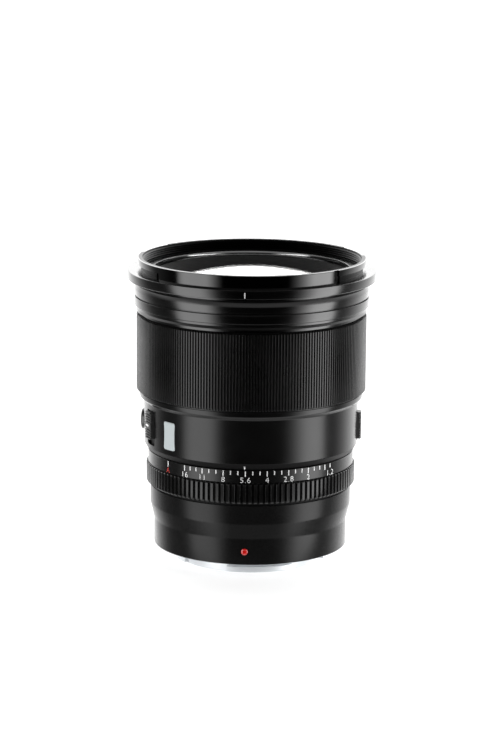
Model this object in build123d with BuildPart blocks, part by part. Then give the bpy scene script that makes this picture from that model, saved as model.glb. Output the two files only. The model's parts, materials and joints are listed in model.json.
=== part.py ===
from build123d import *

import os
from math import asin, copysign, cos, degrees, pi, radians, sin, sqrt, tan

# Short telephoto prime lens for a mirrorless camera, piece by piece as it comes apart on a bench.
# Millimetres. The origin is the centre of the bayonet's rear edge, on which the lens stands.
# +Z is the optical axis towards the front, and the index marks face -Y.
# An azimuth is measured from -Y towards +X, in degrees.

# Clearances
running_gap = 0.08          # a ring or shaft that turns in its seat
fit_gap = 0.05              # a fixed piece in its bore
side_gap = 0.1              # between faces that slide past one another
seat_touch = 0.02           # a lens on its seat
screw_gap = 0.05            # a screw in its hole
overcut = 1.0               # how far a cut runs past the surface it opens

# Bayonet
mount_depth = 4.7           # rear edge to the seating plane
throat_radius = 24.0
tube_wall = 2.0
tab_radius = 27.4
tab_count = 4
tab_angle = 51.0            # width of each tab
tab_centre = 11.3           # azimuth of the first tab
tab_rear = 0.35             # rear edge of the tube to the tab
tab_thickness = 2.0
seat_relief = 0.3           # groove inside the seating face, wide and deep
mount_radius = 31.5
mount_flange = 2.3
mount_screw_count = 4
mount_screw_radius = 29.6   # pitch circle
mount_screw_shank = 0.9
mount_screw_head = 1.7
mount_screw_first = 33.0    # azimuth of the first screw
lock_hole_radius = 1.5
lock_hole_depth = 1.6
lock_hole_azimuth = 100.0

# Rear barrel, outside
rear_radius = 34.2
rear_band_height = 9.5
rear_taper_height = 5.7
waist_radius = 35.65
waist_height = 6.5
spigot_radius = 34.3        # the aperture ring turns on it
spigot_wall = 2.0
rear_edge_step = 0.3        # the barrel's rear edge stands back from the seating plane
bead_radius = 1.3
bead_height = 5.0           # above the seating plane
bead_rise = 0.55
bead_sink = 0.8
bead_round = 0.44
gasket_inner = 32.2
gasket_outer = 33.4
gasket_proud = 0.25

# Aperture ring
ring_gap = 1.6              # dark gap below the knurl
ring_foot_radius = 35.3
knurl_height = 6.55
knurl_crest = 37.05
knurl_root = 36.3
knurl_count = 120
knurl_crest_share = 0.46    # of a rib's pitch
knurl_root_share = 0.24
scale_step = 0.15
scale_height = 4.6
scale_radius = 36.45
housing_gap = 0.3           # between the ring and the housing
stop_angle = 12.1           # turn of the ring from one stop to the next
detent_azimuth = 150.0
detents_per_stop = 3
detent_stops = 9
detent_stops_below = 4      # of them below the stop at rest
detent_length = 12.0
detent_height = 3.0
detent_leaf = 0.35
detent_bump = 0.8
detent_floor = 33.3         # radius

# Switch housing
housing_radius = 38.0
housing_taper = 0.2         # the wall's foot stands in from its top
bevel_height = 2.1
bevel_depth = 1.4
housing_wall_height = 15.5
housing_wall = 1.6
lip_chamfer = 1.3
lip_rise = 1.45             # stands out over the wall
lip_wall = 0.85             # and over the focus ring's bearing
lip_height = 1.7
housing_flange = 1.6        # clamped between the rear barrel and the main barrel
housing_flange_bore = 32.7
pocket_width = 6.6
pocket_height = 12.3
pocket_rise = 7.35          # from the housing's wall foot to the pocket's centre
pocket_corner = 0.9
pocket_depth = 1.05
slider_width = 4.8
slider_height = 9.7
slider_travel = 2.0
slider_rise = 1.25          # stands out of the housing
slider_corner = 0.7
slider_groove = 0.45
slider_groove_depth = 0.5
slider_groove_pitch = 0.9
slider_grooves = 4          # above the middle, and as many below
slider_middle = 1.35        # from the middle to the first groove
slider_stem_width = 3.0
slider_stem_height = 3.6
slider_foot_size = 6.0
slider_foot_depth = 1.3     # inside the housing's wall
tongue_width = 2.0          # from a slider's foot, or from the button, in to its switch
af_azimuth = -64.6
click_azimuth = 90.0
button_azimuth = -90.0
button_radius = 3.7
button_rise = 1.2
button_flange_radius = 4.5
button_flange = 0.7
button_centre_rise = 6.95   # from the housing's wall foot
button_travel = 0.4
button_round = 0.6
badge_azimuth = -44.9
badge_width = 5.75
badge_height = 9.8
badge_waist = 0.25          # its long sides curve in
badge_centre_rise = 6.85
badge_corner = 0.8
badge_inlay = 0.4
badge_proud = 0.08

# Focus ring
focus_gap = 0.5
focus_length = 27.1
focus_wall = 1.5            # from the bearing to the root of the ribs
focus_rib_depth = 0.45
focus_rib_count = 240
focus_crest_share = 0.42
focus_root_share = 0.3
focus_hub_wall = 0.7

# Front barrel
front_gap = 0.2
front_groove_wall = 0.8     # each wall is measured out from the focus ring's bearing
front_groove = 1.0
step_wall = 1.7
step_height = 0.95
step_rise = 0.15
second_step_wall = 2.05
second_step_height = 0.85
band_cone = 0.35
band_wall = 2.8
lower_band_height = 3.05
band_groove = 0.45
band_groove_depth = 0.5
upper_band_wall = 2.7
upper_band_height = 2.2
band_chamfer_height = 1.65
band_chamfer_wall = 2.25
front_shoulder = 1.5

# Front collar
neck_wall = 1.3
neck_height = 1.55
flange_radius = 43.7
flange_height = 3.2
flange_edge = 0.25
rim_wall = 1.9              # outside the filter thread
rim_foot_wall = 1.7
rim_height = 4.3
rim_edge = 0.35
thread_radius = 38.5        # filter thread, nominal
thread_depth = 3.8
hood_groove_wall = 0.45
hood_groove_height = 2.2
hood_front_angle = 49.6     # half of the full front sector
hood_stop_angle = 2.2       # width of the upright slot at the hood's stop
hood_stop_depth = 0.5
hood_lip_end = 100.0        # azimuth where the hood's way in starts
hood_entry_end = 128.0      # azimuth where it ends
hood_bump_azimuth = 53.4
hood_bump_width = 0.9
hood_bump_rise = 0.5

# Name ring and front retainer
name_ring_thickness = 1.6
name_ring_bore = 34.2
name_ring_cone = 0.5        # its inside opens to the front
name_ring_cone_height = 1.4
name_ring_ledge = 0.5       # from the filter thread in to the ring's seat
cone_top_radius = 33.9
cone_foot_radius = 32.3
front_cell_radius = 35.5

# Iris
blade_count = 11
stop_radius = 18.5          # full aperture
blade_edge = 0.2            # the open blades stand behind the stop's edge
blade_margin = 1.1          # the blades' outer edge stands inside the pivots
blade_span = 106.0          # from pivot to tip
blade_start = 4.0           # where its arc begins
blade_thickness = 0.12
blade_pitch = 0.2           # from one blade's plane to the next
pin_radius = 0.5
pivot_radius = 27.7         # pitch circle of the pivots
drive_lag = 10.0            # the drive pin stands behind the pivot
lobe_radius = 1.05
cam_turn = 24.0
blade_ratio = 1.5           # blade turn for each turn of the cam ring
iris_margin = 3.0           # from the pinion's centre to the iris's edge
iris_rim = 1.7
iris_base_thickness = 1.2
cam_thickness = 1.0
cover_thickness = 0.8
gear_module = 0.3
tooth_rise_share = 0.8      # of the module
tooth_depth_share = 1.1
tooth_overlap = 0.1         # into the gear's body
pressure_angle = 20.0
cam_margin = 4.1            # from the pivots to the gear's pitch circle
sector_teeth = 21
sector_teeth_past = 4       # past the pinion when the iris is open
pinion_teeth = 14
gear_backlash = 0.08
pinion_azimuth = 0.0
pinion_shaft = 0.6
iris_motor_radius = 2.9
iris_motor_length = 10.0

# Main barrel
main_wall_radius = 32.6
main_bore = 31.0
main_flange = 1.4
guide_shelf = 2.2
main_foot_radius = 34.5
barrel_screw_circle = 33.55
barrel_screw_radius = 0.5
barrel_screw_head = 0.8
barrel_screw_head_height = 0.5
barrel_screw_grip = 2.6
barrel_screw_azimuths = (35, 125, -145, -55)
front_wall = 1.6            # under the focus ring
front_cell_wall = 3.1       # from the front cell out to the focus ring's bearing

# Focusing mechanism
focus_travel = 7.0
front_slack = 3.63          # left over before the main barrel's shelf
rod_radius = 1.0
rod_circle = 28.0
rod_azimuth = 60.0
screw_radius = 1.0
screw_azimuth = 150.0
nut_radius = 2.2
carriage_wall = 2.2
carriage_arm = 2.0
motor_radius = 2.8
motor_length = 9.3
circuit_thickness = 1.2

# Glass: the front vertex, then each surface's curvature and place on the axis, and the edge radius.
# Heights are above the bayonet's rear edge, and a positive curvature bulges to the front.
front_glass = dict(edge=33.2, surfaces=[(103.8, 84.0), (94.8, 420.0)])
second_glass = dict(edge=31.0, surfaces=[(94.2, 58.0), (85.6, 130.0)])
front_pair = dict(edge=27.0, surfaces=[(84.8, 46.0), (76.6, 150.0), (74.0, 52.0)])
middle_pair = dict(edge=22.0, surfaces=[(51.8, -38.0), (49.8, -150.0), (44.5, -60.0)])
focus_pair = dict(edge=19.0, surfaces=[(34.0, 90.0), (28.6, -70.0), (26.9, 120.0)])
rear_pair = dict(edge=20.0, surfaces=[(23.6, 110.0), (17.5, -80.0), (15.8, 90.0)])
rear_glass = dict(edge=19.5, surfaces=[(9.8, -80.0), (6.6, -150.0)])

# Heights along the axis that follow from the sizes above
seat_z = mount_depth
waist_foot_z = seat_z + rear_band_height + rear_taper_height
shoulder_z = waist_foot_z + waist_height
knurl_z = shoulder_z + ring_gap
scale_z = knurl_z + knurl_height + scale_step
scale_top_z = scale_z + scale_height
housing_z = scale_top_z + housing_gap
wall_z = housing_z + bevel_height
wall_top_z = wall_z + housing_wall_height
lip_z = wall_top_z + lip_chamfer
lip_top_z = lip_z + lip_height
focus_z = lip_top_z + focus_gap
focus_top_z = focus_z + focus_length
front_z = focus_top_z + front_gap
step_z = front_z + front_groove
lower_band_z = step_z + step_height + step_rise + second_step_height + band_cone
upper_band_z = lower_band_z + lower_band_height + band_groove
band_chamfer_z = upper_band_z + upper_band_height
collar_z = band_chamfer_z + band_chamfer_height
flange_z = collar_z + neck_height
rim_z = flange_z + flange_height
rim_top_z = rim_z + rim_height
name_ring_z = rim_top_z - thread_depth - name_ring_thickness
main_foot_z = housing_z + housing_flange
main_top_z = front_z + 2 * front_groove

# Radii that follow from the sizes above, from the iris outwards and from the housing's wall
cam_teeth = round(2 * (pivot_radius + cam_margin) / gear_module)     # on the full circle
cam_pitch_radius = gear_module * cam_teeth / 2
pinion_pitch_radius = gear_module * pinion_teeth / 2
pinion_circle = cam_pitch_radius + pinion_pitch_radius
iris_bearing = pinion_circle + iris_margin + side_gap + front_wall
focus_bearing = max(iris_bearing, front_cell_radius + front_cell_wall)     # the focus ring turns on it
front_bore = focus_bearing - front_wall
iris_radius = front_bore - side_gap
focus_bore = focus_bearing + running_gap
focus_hub_radius = focus_bearing + focus_hub_wall
focus_root = focus_bearing + focus_wall
focus_crest = focus_root + focus_rib_depth
lip_radius = max(housing_radius + lip_rise, focus_bearing + lip_wall)
housing_foot_radius = housing_radius - housing_taper
bevel_radius = housing_foot_radius - bevel_depth
pocket_floor = housing_radius - pocket_depth
front_groove_radius = focus_bearing + front_groove_wall
step_radius = focus_bearing + step_wall
second_step_radius = focus_bearing + second_step_wall
band_radius = focus_bearing + band_wall
upper_band_radius = focus_bearing + upper_band_wall
band_chamfer_radius = focus_bearing + band_chamfer_wall
neck_radius = focus_bearing + neck_wall
rim_radius = thread_radius + rim_wall
rim_foot_radius = thread_radius + rim_foot_wall
hood_groove_radius = thread_radius + hood_groove_wall

# Places of the switches
pocket_z = wall_z + pocket_rise
button_z = wall_z + button_centre_rise
badge_z = wall_z + badge_centre_rise
detent_z = knurl_z + knurl_height / 2
bead_z = seat_z + bead_height

os.makedirs("parts", exist_ok=True)


def finish(part, name):
    """Name a finished piece and write it."""
    part.label = name
    export_step(part, f"parts/{name}.step")


def half_section(*points):
    """A closed half section through the optical axis, from (radius, height) points."""
    with BuildSketch(Plane.XZ) as section:
        with BuildLine():
            Polyline(*points, close=True)
        make_face()
    return section.sketch


def ring_section(inner, outer, foot, top):
    """The half section of a plain ring."""
    return half_section((inner, foot), (outer, foot), (outer, top), (inner, top))


def polar(radius, azimuth):
    """A point round the axis, by radius and azimuth."""
    return radius * sin(radians(azimuth)), -radius * cos(radians(azimuth))


def side_plane(azimuth, height, radius=0):
    """A plane that looks straight out of the barrel, with its Y axis upwards."""
    x, y = polar(radius, azimuth)
    outward = (sin(radians(azimuth)), -cos(radians(azimuth)), 0)
    along = (cos(radians(azimuth)), sin(radians(azimuth)), 0)
    return Plane(origin=(x, y, height), x_dir=along, z_dir=outward)


def arc_block(azimuth, height, width, tall, inner, outer, corner=0.0, waist=0.0):
    """A block that follows the barrel between two radii: corners round, long sides waisted."""
    half_width, half_height = width / 2, tall / 2
    with BuildPart() as block:
        with BuildSketch(side_plane(azimuth, height)) as outline:
            if waist:
                with BuildLine():
                    Polyline((-half_width, half_height), (half_width, half_height))
                    ThreePointArc((half_width, half_height), (half_width - waist, 0),
                                  (half_width, -half_height))
                    Polyline((half_width, -half_height), (-half_width, -half_height))
                    ThreePointArc((-half_width, -half_height), (waist - half_width, 0),
                                  (-half_width, half_height))
                make_face()
            else:
                Rectangle(width, tall)
            if corner:
                fillet(outline.vertices(), corner)
        extrude(amount=outer + width)
        with BuildSketch(Plane.XY.offset(height - tall)):
            Circle(outer)
            Circle(inner, mode=Mode.SUBTRACT)
        extrude(amount=2 * tall, mode=Mode.INTERSECT)
    return block.part


def sector(inner, outer, foot, top, first, last):
    """A piece of a ring between two azimuths."""
    with BuildPart() as piece:
        with BuildSketch(Plane.XY.offset(foot)):
            with BuildLine():
                CenterArc((0, 0), outer, first - 90, last - first)
                CenterArc((0, 0), inner, first - 90, last - first)
                Line(polar(inner, first), polar(outer, first))
                Line(polar(inner, last), polar(outer, last))
            make_face()
        extrude(amount=top - foot)
    return piece.part


def post(azimuth, circle, radius, foot, top):
    """A round post or hole parallel to the axis."""
    with BuildPart() as piece:
        with BuildSketch(Plane.XY.offset(foot)):
            with Locations(polar(circle, azimuth)):
                Circle(radius)
        extrude(amount=top - foot)
    return piece.part


def surface_z(vertex, curvature, radius):
    """Height of a spherical surface at a radius. A positive curvature bulges to the front."""
    return vertex - curvature + copysign(sqrt(curvature**2 - radius**2), curvature)


def element(glass, index):
    """One glass element between two neighbouring surfaces of a single lens or cemented pair."""
    edge = glass["edge"]
    front, rear = glass["surfaces"][index:index + 2]
    half_edge = edge / 2
    with BuildPart() as piece:
        with BuildSketch(Plane.XZ):
            with BuildLine():
                ThreePointArc((0, front[0]), (half_edge, surface_z(*front, half_edge)),
                              (edge, surface_z(*front, edge)))
                Line((edge, surface_z(*front, edge)), (edge, surface_z(*rear, edge)))
                ThreePointArc((edge, surface_z(*rear, edge)), (half_edge, surface_z(*rear, half_edge)),
                              (0, rear[0]))
                Line((0, rear[0]), (0, front[0]))
            make_face()
        revolve(axis=Axis.Z)
    return piece.part


def edge_z(glass, index, radius=None):
    """Height of one of a lens's surfaces at its edge, or at the radius given."""
    return surface_z(*glass["surfaces"][index], radius or glass["edge"])


def ribbed_ring(bore, root, crest, count, crest_share, root_share, foot, top):
    """A ring with upright ribs, each with a flat crest, sloped sides and a flat root."""
    pitch = 2 * pi / count
    corners = [(root, -0.5 + root_share / 2), (crest, -crest_share / 2),
               (crest, crest_share / 2), (root, 0.5 - root_share / 2)]
    outline = [(radius * sin((i + turn) * pitch), -radius * cos((i + turn) * pitch))
               for i in range(count) for radius, turn in corners]
    with BuildPart() as ring:
        with BuildSketch(Plane.XY.offset(foot)):
            with BuildLine():
                Polyline(*outline, close=True)
            make_face()
            Circle(bore, mode=Mode.SUBTRACT)
        extrude(amount=top - foot)
    return ring.part


# Bayonet: chromed brass flange, tube and four tabs, turned and milled from one piece
tube_radius = throat_radius + tube_wall
seat_inner = tab_radius + seat_relief
mount_top_z = seat_z + mount_flange
baffle_depth = 1.3          # behind the seating plane
baffle_z = seat_z - baffle_depth
baffle_thickness = 1.0
baffle_seat = 1.1
with BuildPart() as bayonet_mount:
    revolve(half_section(
        (throat_radius, 0), (tube_radius, 0), (tube_radius, seat_z + seat_relief),
        (seat_inner, seat_z + seat_relief), (seat_inner, seat_z), (mount_radius, seat_z),
        (mount_radius, mount_top_z), (throat_radius - baffle_seat, mount_top_z),
        (throat_radius - baffle_seat, baffle_z + baffle_thickness),
        (throat_radius, baffle_z + baffle_thickness)), axis=Axis.Z)
    for i in range(tab_count):
        middle = tab_centre + i * 360 / tab_count
        add(sector(tube_radius - fit_gap, tab_radius, tab_rear, tab_rear + tab_thickness,
                   middle - tab_angle / 2, middle + tab_angle / 2))
    for i in range(mount_screw_count):
        azimuth = mount_screw_first + i * 360 / mount_screw_count
        with Locations(Location((*polar(mount_screw_radius, azimuth), seat_z), (180, 0, 0))):
            CounterSinkHole(mount_screw_shank + screw_gap, mount_screw_head + screw_gap)
    add(post(lock_hole_azimuth, mount_screw_radius, lock_hole_radius, seat_z, seat_z + lock_hole_depth),
        mode=Mode.SUBTRACT)
finish(bayonet_mount.part, "bayonet_mount")

# Rear barrel: turned aluminium, with the ledge that takes the mount and the spigot for the ring
ledge_bore = 28.0
ledge_height = 2.2
cell_seat_height = 10.8     # above the ledge
ledge_top_z = mount_top_z + ledge_height
cell_seat_z = ledge_top_z + cell_seat_height
rear_bore = 31.0
spigot_bore = spigot_radius - spigot_wall
gasket_groove = 0.9
rear_chamfer = 0.3
rear_edge_z = seat_z + rear_edge_step
with BuildPart() as rear_barrel:
    revolve(half_section(
        (mount_radius + fit_gap, rear_edge_z), (rear_radius - rear_chamfer, rear_edge_z),
        (rear_radius, rear_edge_z + rear_chamfer), (rear_radius, seat_z + rear_band_height),
        (waist_radius, waist_foot_z), (waist_radius, shoulder_z), (spigot_radius, shoulder_z),
        (spigot_radius, housing_z), (spigot_bore, housing_z), (spigot_bore, cell_seat_z),
        (rear_bore, cell_seat_z), (rear_bore, ledge_top_z), (ledge_bore, ledge_top_z),
        (ledge_bore, mount_top_z), (mount_radius + fit_gap, mount_top_z)), axis=Axis.Z)
    for i in range(mount_screw_count):
        azimuth = mount_screw_first + i * 360 / mount_screw_count
        add(post(azimuth, mount_screw_radius, mount_screw_shank + screw_gap, mount_top_z, ledge_top_z),
            mode=Mode.SUBTRACT)
    revolve(ring_section(gasket_inner, gasket_outer, rear_edge_z, rear_edge_z + gasket_groove),
            axis=Axis.Z, mode=Mode.SUBTRACT)
    with BuildSketch(side_plane(0, bead_z, rear_radius - bead_sink)):
        Circle(bead_radius + fit_gap)
    extrude(amount=2 * bead_sink, mode=Mode.SUBTRACT)
    for azimuth in barrel_screw_azimuths:
        add(post(azimuth, barrel_screw_circle, barrel_screw_radius + screw_gap,
                 housing_z - barrel_screw_grip, housing_z), mode=Mode.SUBTRACT)
    add(arc_block(detent_azimuth, detent_z, detent_length + 2 * side_gap, detent_height + 2 * side_gap,
                  detent_floor, spigot_radius + overcut), mode=Mode.SUBTRACT)
finish(rear_barrel.part, "rear_barrel")

# Index bead: red enamel, pressed into the rear barrel
with BuildPart() as mount_index_bead:
    with BuildSketch(side_plane(0, bead_z, rear_radius - bead_sink)):
        Circle(bead_radius)
    extrude(amount=bead_sink + bead_rise)
    fillet(mount_index_bead.faces().sort_by(Axis.Y)[0].edges(), bead_round)
finish(mount_index_bead.part, "mount_index_bead")

# Gasket: a rubber ring in a groove of the rear edge, just short of the seating plane
with BuildPart() as mount_gasket:
    revolve(ring_section(gasket_inner + fit_gap, gasket_outer - fit_gap, rear_edge_z - gasket_proud,
                         rear_edge_z + gasket_groove), axis=Axis.Z)
finish(mount_gasket.part, "mount_gasket")

# Mount screws: four countersunk screws into the rear barrel's ledge
head_z = seat_z + screw_gap
head_cone = mount_screw_head - mount_screw_shank
with BuildPart() as one_mount_screw:
    revolve(half_section(
        (0, head_z), (mount_screw_head, head_z), (mount_screw_shank, head_z + head_cone),
        (mount_screw_shank, ledge_top_z - side_gap), (0, ledge_top_z - side_gap)), axis=Axis.Z)
with BuildPart() as mount_screws:
    with PolarLocations(mount_screw_radius, mount_screw_count, mount_screw_first - 90):
        add(one_mount_screw.part)
finish(mount_screws.part, "mount_screws")

# Rear baffle: blackened plate with a window a little larger than the picture
window_width = 31.0
window_height = 22.0
window_corner = 3.0
with BuildPart() as rear_baffle:
    with BuildSketch(Plane.XY.offset(baffle_z)):
        Circle(throat_radius - fit_gap)
        RectangleRounded(window_width, window_height, window_corner, mode=Mode.SUBTRACT)
    extrude(amount=baffle_thickness)
finish(rear_baffle.part, "rear_baffle")

# Contacts: eleven gold pads on a plastic arc, opposite the index bead
contact_angle = 27.0        # half of the arc
contact_inner = 20.6
contact_depth = 2.7
contact_count = 11
contact_pitch = 4.2
contact_circle = 22.3
contact_radius = 0.5
contact_rise = 0.35
contact_z = baffle_z - contact_depth
with BuildPart() as contact_block:
    add(sector(contact_inner, throat_radius - fit_gap, contact_z, baffle_z,
               180 - contact_angle, 180 + contact_angle))
finish(contact_block.part, "contact_block")
with BuildPart() as contact_pins:
    for i in range(contact_count):
        azimuth = 180 + (i - (contact_count - 1) / 2) * contact_pitch
        add(post(azimuth, contact_circle, contact_radius, contact_z - contact_rise, contact_z))
finish(contact_pins.part, "contact_pins")

# Rear cell: tube for the rear glass, with the flange that carries the motor and the guide rods
cell_radius = 22.3
cell_foot_rise = 1.4        # above the seating plane
cell_flange = 2.0
cell_rim = 1.6              # in front of the cemented pair's edge
rod_socket = 1.4
cell_lip = 18.4             # bore of the step between the two lenses
retainer_radius = 20.9
retainer_sink = 0.2
cell_foot_z = seat_z + cell_foot_rise
retainer_foot_z = cell_foot_z + retainer_sink
retainer_top_z = edge_z(rear_glass, 1, cell_lip) - side_gap / 2
cell_top_z = edge_z(rear_pair, 0) + cell_rim
flange_top_z = cell_seat_z + cell_flange
rod_foot_z = flange_top_z - rod_socket
rod_azimuths = (rod_azimuth, rod_azimuth + 180)
with BuildPart() as rear_cell:
    revolve(half_section(
        (retainer_radius + fit_gap, cell_foot_z), (cell_radius, cell_foot_z),
        (cell_radius, cell_seat_z), (spigot_bore - side_gap, cell_seat_z),
        (spigot_bore - side_gap, flange_top_z), (cell_radius, flange_top_z),
        (cell_radius, cell_top_z), (rear_pair["edge"] + fit_gap, cell_top_z),
        (rear_pair["edge"] + fit_gap, edge_z(rear_pair, -1) - seat_touch),
        (cell_lip, edge_z(rear_pair, -1) - seat_touch),
        (cell_lip, edge_z(rear_glass, 0) + seat_touch),
        (rear_glass["edge"] + fit_gap, edge_z(rear_glass, 0) + seat_touch),
        (rear_glass["edge"] + fit_gap, retainer_top_z + seat_touch),
        (retainer_radius + fit_gap, retainer_top_z + seat_touch)), axis=Axis.Z)
    add(post(screw_azimuth, rod_circle, screw_radius + 2 * side_gap, cell_seat_z, flange_top_z),
        mode=Mode.SUBTRACT)
    for azimuth in rod_azimuths:
        add(post(azimuth, rod_circle, rod_radius + fit_gap, rod_foot_z, flange_top_z),
            mode=Mode.SUBTRACT)
finish(rear_cell.part, "rear_cell")

# Rear retainer: threaded ring behind the rear glass, with two slots for a spanner
spanner_slot_width = 1.2
spanner_slot_depth = 0.6
with BuildPart() as rear_retainer:
    revolve(ring_section(cell_lip, retainer_radius, retainer_foot_z, retainer_top_z), axis=Axis.Z)
    with BuildSketch(Plane.XY.offset(retainer_foot_z)):
        Rectangle(2 * cell_radius, spanner_slot_width)
    extrude(amount=spanner_slot_depth, mode=Mode.SUBTRACT)
finish(rear_retainer.part, "rear_retainer")

# Rear glass: a cemented pair dropped in from the front, and a single lens held by the retainer
finish(Compound(children=[element(rear_pair, 0), element(rear_pair, 1)]), "rear_doublet")
finish(element(rear_glass, 0), "rear_element")

# Circuit board: an annular board on the rear barrel's ledge, with its chips
board_clearance = 0.4
board_inner = cell_radius + board_clearance
chip_height = 0.9
chips = ((20, 6.0), (70, 5.0), (-60, 5.5), (-115, 4.0))     # azimuth and width of each
with BuildPart() as circuit_board:
    revolve(ring_section(board_inner, rear_bore - side_gap, ledge_top_z,
                         ledge_top_z + circuit_thickness), axis=Axis.Z)
    for azimuth, width in chips:
        with BuildSketch(Plane.XY.offset(ledge_top_z + circuit_thickness)):
            with Locations(Location((*polar((board_inner + rear_bore) / 2, azimuth), 0), azimuth)):
                Rectangle(width, width)
        extrude(amount=chip_height)
finish(circuit_board.part, "circuit_board")

# Focus motor under the rear cell's flange, and its lead screw
screw_grip = 3.0            # inside the motor
motor_chamfer = 0.4
carriage_rim = 1.2          # in front of the lens's edge
shelf_roof = 0.55           # left over the blind holes for the rods
screw_foot_z = cell_seat_z - screw_grip
carriage_top_z = edge_z(focus_pair, 0) + carriage_rim
shelf_foot_z = carriage_top_z + focus_travel + front_slack
shelf_top_z = shelf_foot_z + guide_shelf
rod_top_z = shelf_top_z - shelf_roof
with BuildPart() as focus_motor:
    add(post(screw_azimuth, rod_circle, motor_radius, cell_seat_z - motor_length, cell_seat_z))
    chamfer(focus_motor.faces().sort_by(Axis.Z)[0].edges(), motor_chamfer)
    add(post(screw_azimuth, rod_circle, screw_radius + running_gap, screw_foot_z, cell_seat_z),
        mode=Mode.SUBTRACT)
finish(focus_motor.part, "focus_motor")
with BuildPart() as lead_screw:
    add(post(screw_azimuth, rod_circle, screw_radius, screw_foot_z + side_gap, rod_top_z - side_gap))
finish(lead_screw.part, "lead_screw")

# Guide rods: two ground steel rods between the rear cell and the main barrel's shelf
with BuildPart() as guide_rods:
    for azimuth in rod_azimuths:
        add(post(azimuth, rod_circle, rod_radius, rod_foot_z, rod_top_z))
finish(guide_rods.part, "guide_rods")

# Focus carriage: lens cell with a long sleeve, a short sleeve and a nut, resting near the flange
carriage_ledge = 1.0        # under the lens's edge, high and wide
carriage_radius = focus_pair["edge"] + carriage_wall
carriage_foot_z = edge_z(focus_pair, -1) - carriage_ledge
sleeve_foot_z = flange_top_z + side_gap
sleeve_azimuths = (*rod_azimuths, screw_azimuth)
with BuildPart() as focus_carriage:
    with BuildSketch(Plane.XY.offset(carriage_foot_z)):
        Circle(carriage_radius)
        for azimuth in sleeve_azimuths:
            with Locations(Location((*polar(rod_circle / 2, azimuth), 0), azimuth)):
                Rectangle(2 * nut_radius, rod_circle)
    extrude(amount=carriage_arm)
    revolve(ring_section(0, carriage_radius, carriage_foot_z, carriage_top_z), axis=Axis.Z)
    for azimuth in sleeve_azimuths:
        add(post(azimuth, rod_circle, nut_radius, sleeve_foot_z, carriage_top_z - side_gap))
    revolve(ring_section(0, focus_pair["edge"] + fit_gap, edge_z(focus_pair, -1) - seat_touch,
                         carriage_top_z), axis=Axis.Z, mode=Mode.SUBTRACT)
    revolve(ring_section(0, focus_pair["edge"] - carriage_ledge, carriage_foot_z, carriage_top_z),
            axis=Axis.Z, mode=Mode.SUBTRACT)
    for azimuth in sleeve_azimuths:
        add(post(azimuth, rod_circle, rod_radius + running_gap, sleeve_foot_z, carriage_top_z),
            mode=Mode.SUBTRACT)
finish(focus_carriage.part, "focus_carriage")
finish(Compound(children=[element(focus_pair, 0), element(focus_pair, 1)]), "focus_doublet")

# Main barrel: the turned tube that carries the housing, the iris, the focus ring and the front
iris_seat_rise = 1.0        # above the foot of the housing's lip
cone_drop = 2.0             # below the top of the housing's wall
lip_seat = 0.4
shelf_lip = 1.2
sensor_azimuth = -160.0
sensor_rise = 14.0          # above the focus ring's foot
window_wide = 3.0
window_tall = 2.0
iris_z = lip_z + iris_seat_rise
cone_z = wall_top_z - cone_drop
housing_seat_z = lip_z + lip_seat
shelf_bore = middle_pair["edge"] - shelf_lip
sensor_z = focus_z + sensor_rise
with BuildPart() as main_barrel:
    revolve(half_section(
        (main_bore, main_foot_z), (main_foot_radius, main_foot_z),
        (main_foot_radius, main_foot_z + main_flange), (main_wall_radius, main_foot_z + main_flange),
        (main_wall_radius, cone_z), (focus_bearing, housing_seat_z), (focus_bearing, main_top_z),
        (front_bore, main_top_z), (front_bore, iris_z), (main_bore, iris_z),
        (main_bore, shelf_top_z), (shelf_bore, shelf_top_z), (shelf_bore, shelf_foot_z),
        (main_bore, shelf_foot_z)), axis=Axis.Z)
    for azimuth in barrel_screw_azimuths:
        add(post(azimuth, barrel_screw_circle, barrel_screw_radius + screw_gap,
                 main_foot_z, main_foot_z + main_flange), mode=Mode.SUBTRACT)
    for azimuth in rod_azimuths:
        add(post(azimuth, rod_circle, rod_radius + fit_gap, shelf_foot_z, rod_top_z), mode=Mode.SUBTRACT)
    add(post(screw_azimuth, rod_circle, screw_radius + running_gap, shelf_foot_z, rod_top_z),
        mode=Mode.SUBTRACT)
    add(arc_block(sensor_azimuth, sensor_z, window_wide, window_tall, front_bore - overcut,
                  focus_bearing + overcut), mode=Mode.SUBTRACT)
finish(main_barrel.part, "main_barrel")

# Barrel screws: they clamp the main barrel and the housing to the rear barrel
with BuildPart() as barrel_screws:
    for azimuth in barrel_screw_azimuths:
        add(post(azimuth, barrel_screw_circle, barrel_screw_radius,
                 housing_z - barrel_screw_grip + side_gap, main_foot_z + main_flange))
        add(post(azimuth, barrel_screw_circle, barrel_screw_head,
                 main_foot_z + main_flange,
                 main_foot_z + main_flange + barrel_screw_head_height))
finish(barrel_screws.part, "barrel_screws")

# Middle cell on the main barrel's shelf, with its cemented pair
middle_ledge = 0.7
middle_wall_thickness = 2.2
middle_flange_margin = 1.0  # outside the circle of the rods
middle_seat_bore = middle_pair["edge"] - middle_ledge
middle_seat_z = edge_z(middle_pair, -1, middle_seat_bore) - seat_touch
middle_wall = middle_pair["edge"] + middle_wall_thickness
middle_flange_radius = rod_circle + middle_flange_margin
with BuildPart() as middle_cell:
    revolve(half_section(
        (middle_seat_bore, shelf_top_z), (middle_flange_radius, shelf_top_z),
        (middle_flange_radius, shelf_top_z + main_flange), (middle_wall, shelf_top_z + main_flange),
        (middle_wall, iris_z - side_gap), (middle_pair["edge"] + fit_gap, iris_z - side_gap),
        (middle_pair["edge"] + fit_gap, middle_seat_z), (middle_seat_bore, middle_seat_z)), axis=Axis.Z)
finish(middle_cell.part, "middle_cell")
finish(Compound(children=[element(middle_pair, 0), element(middle_pair, 1)]), "middle_doublet")

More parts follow.
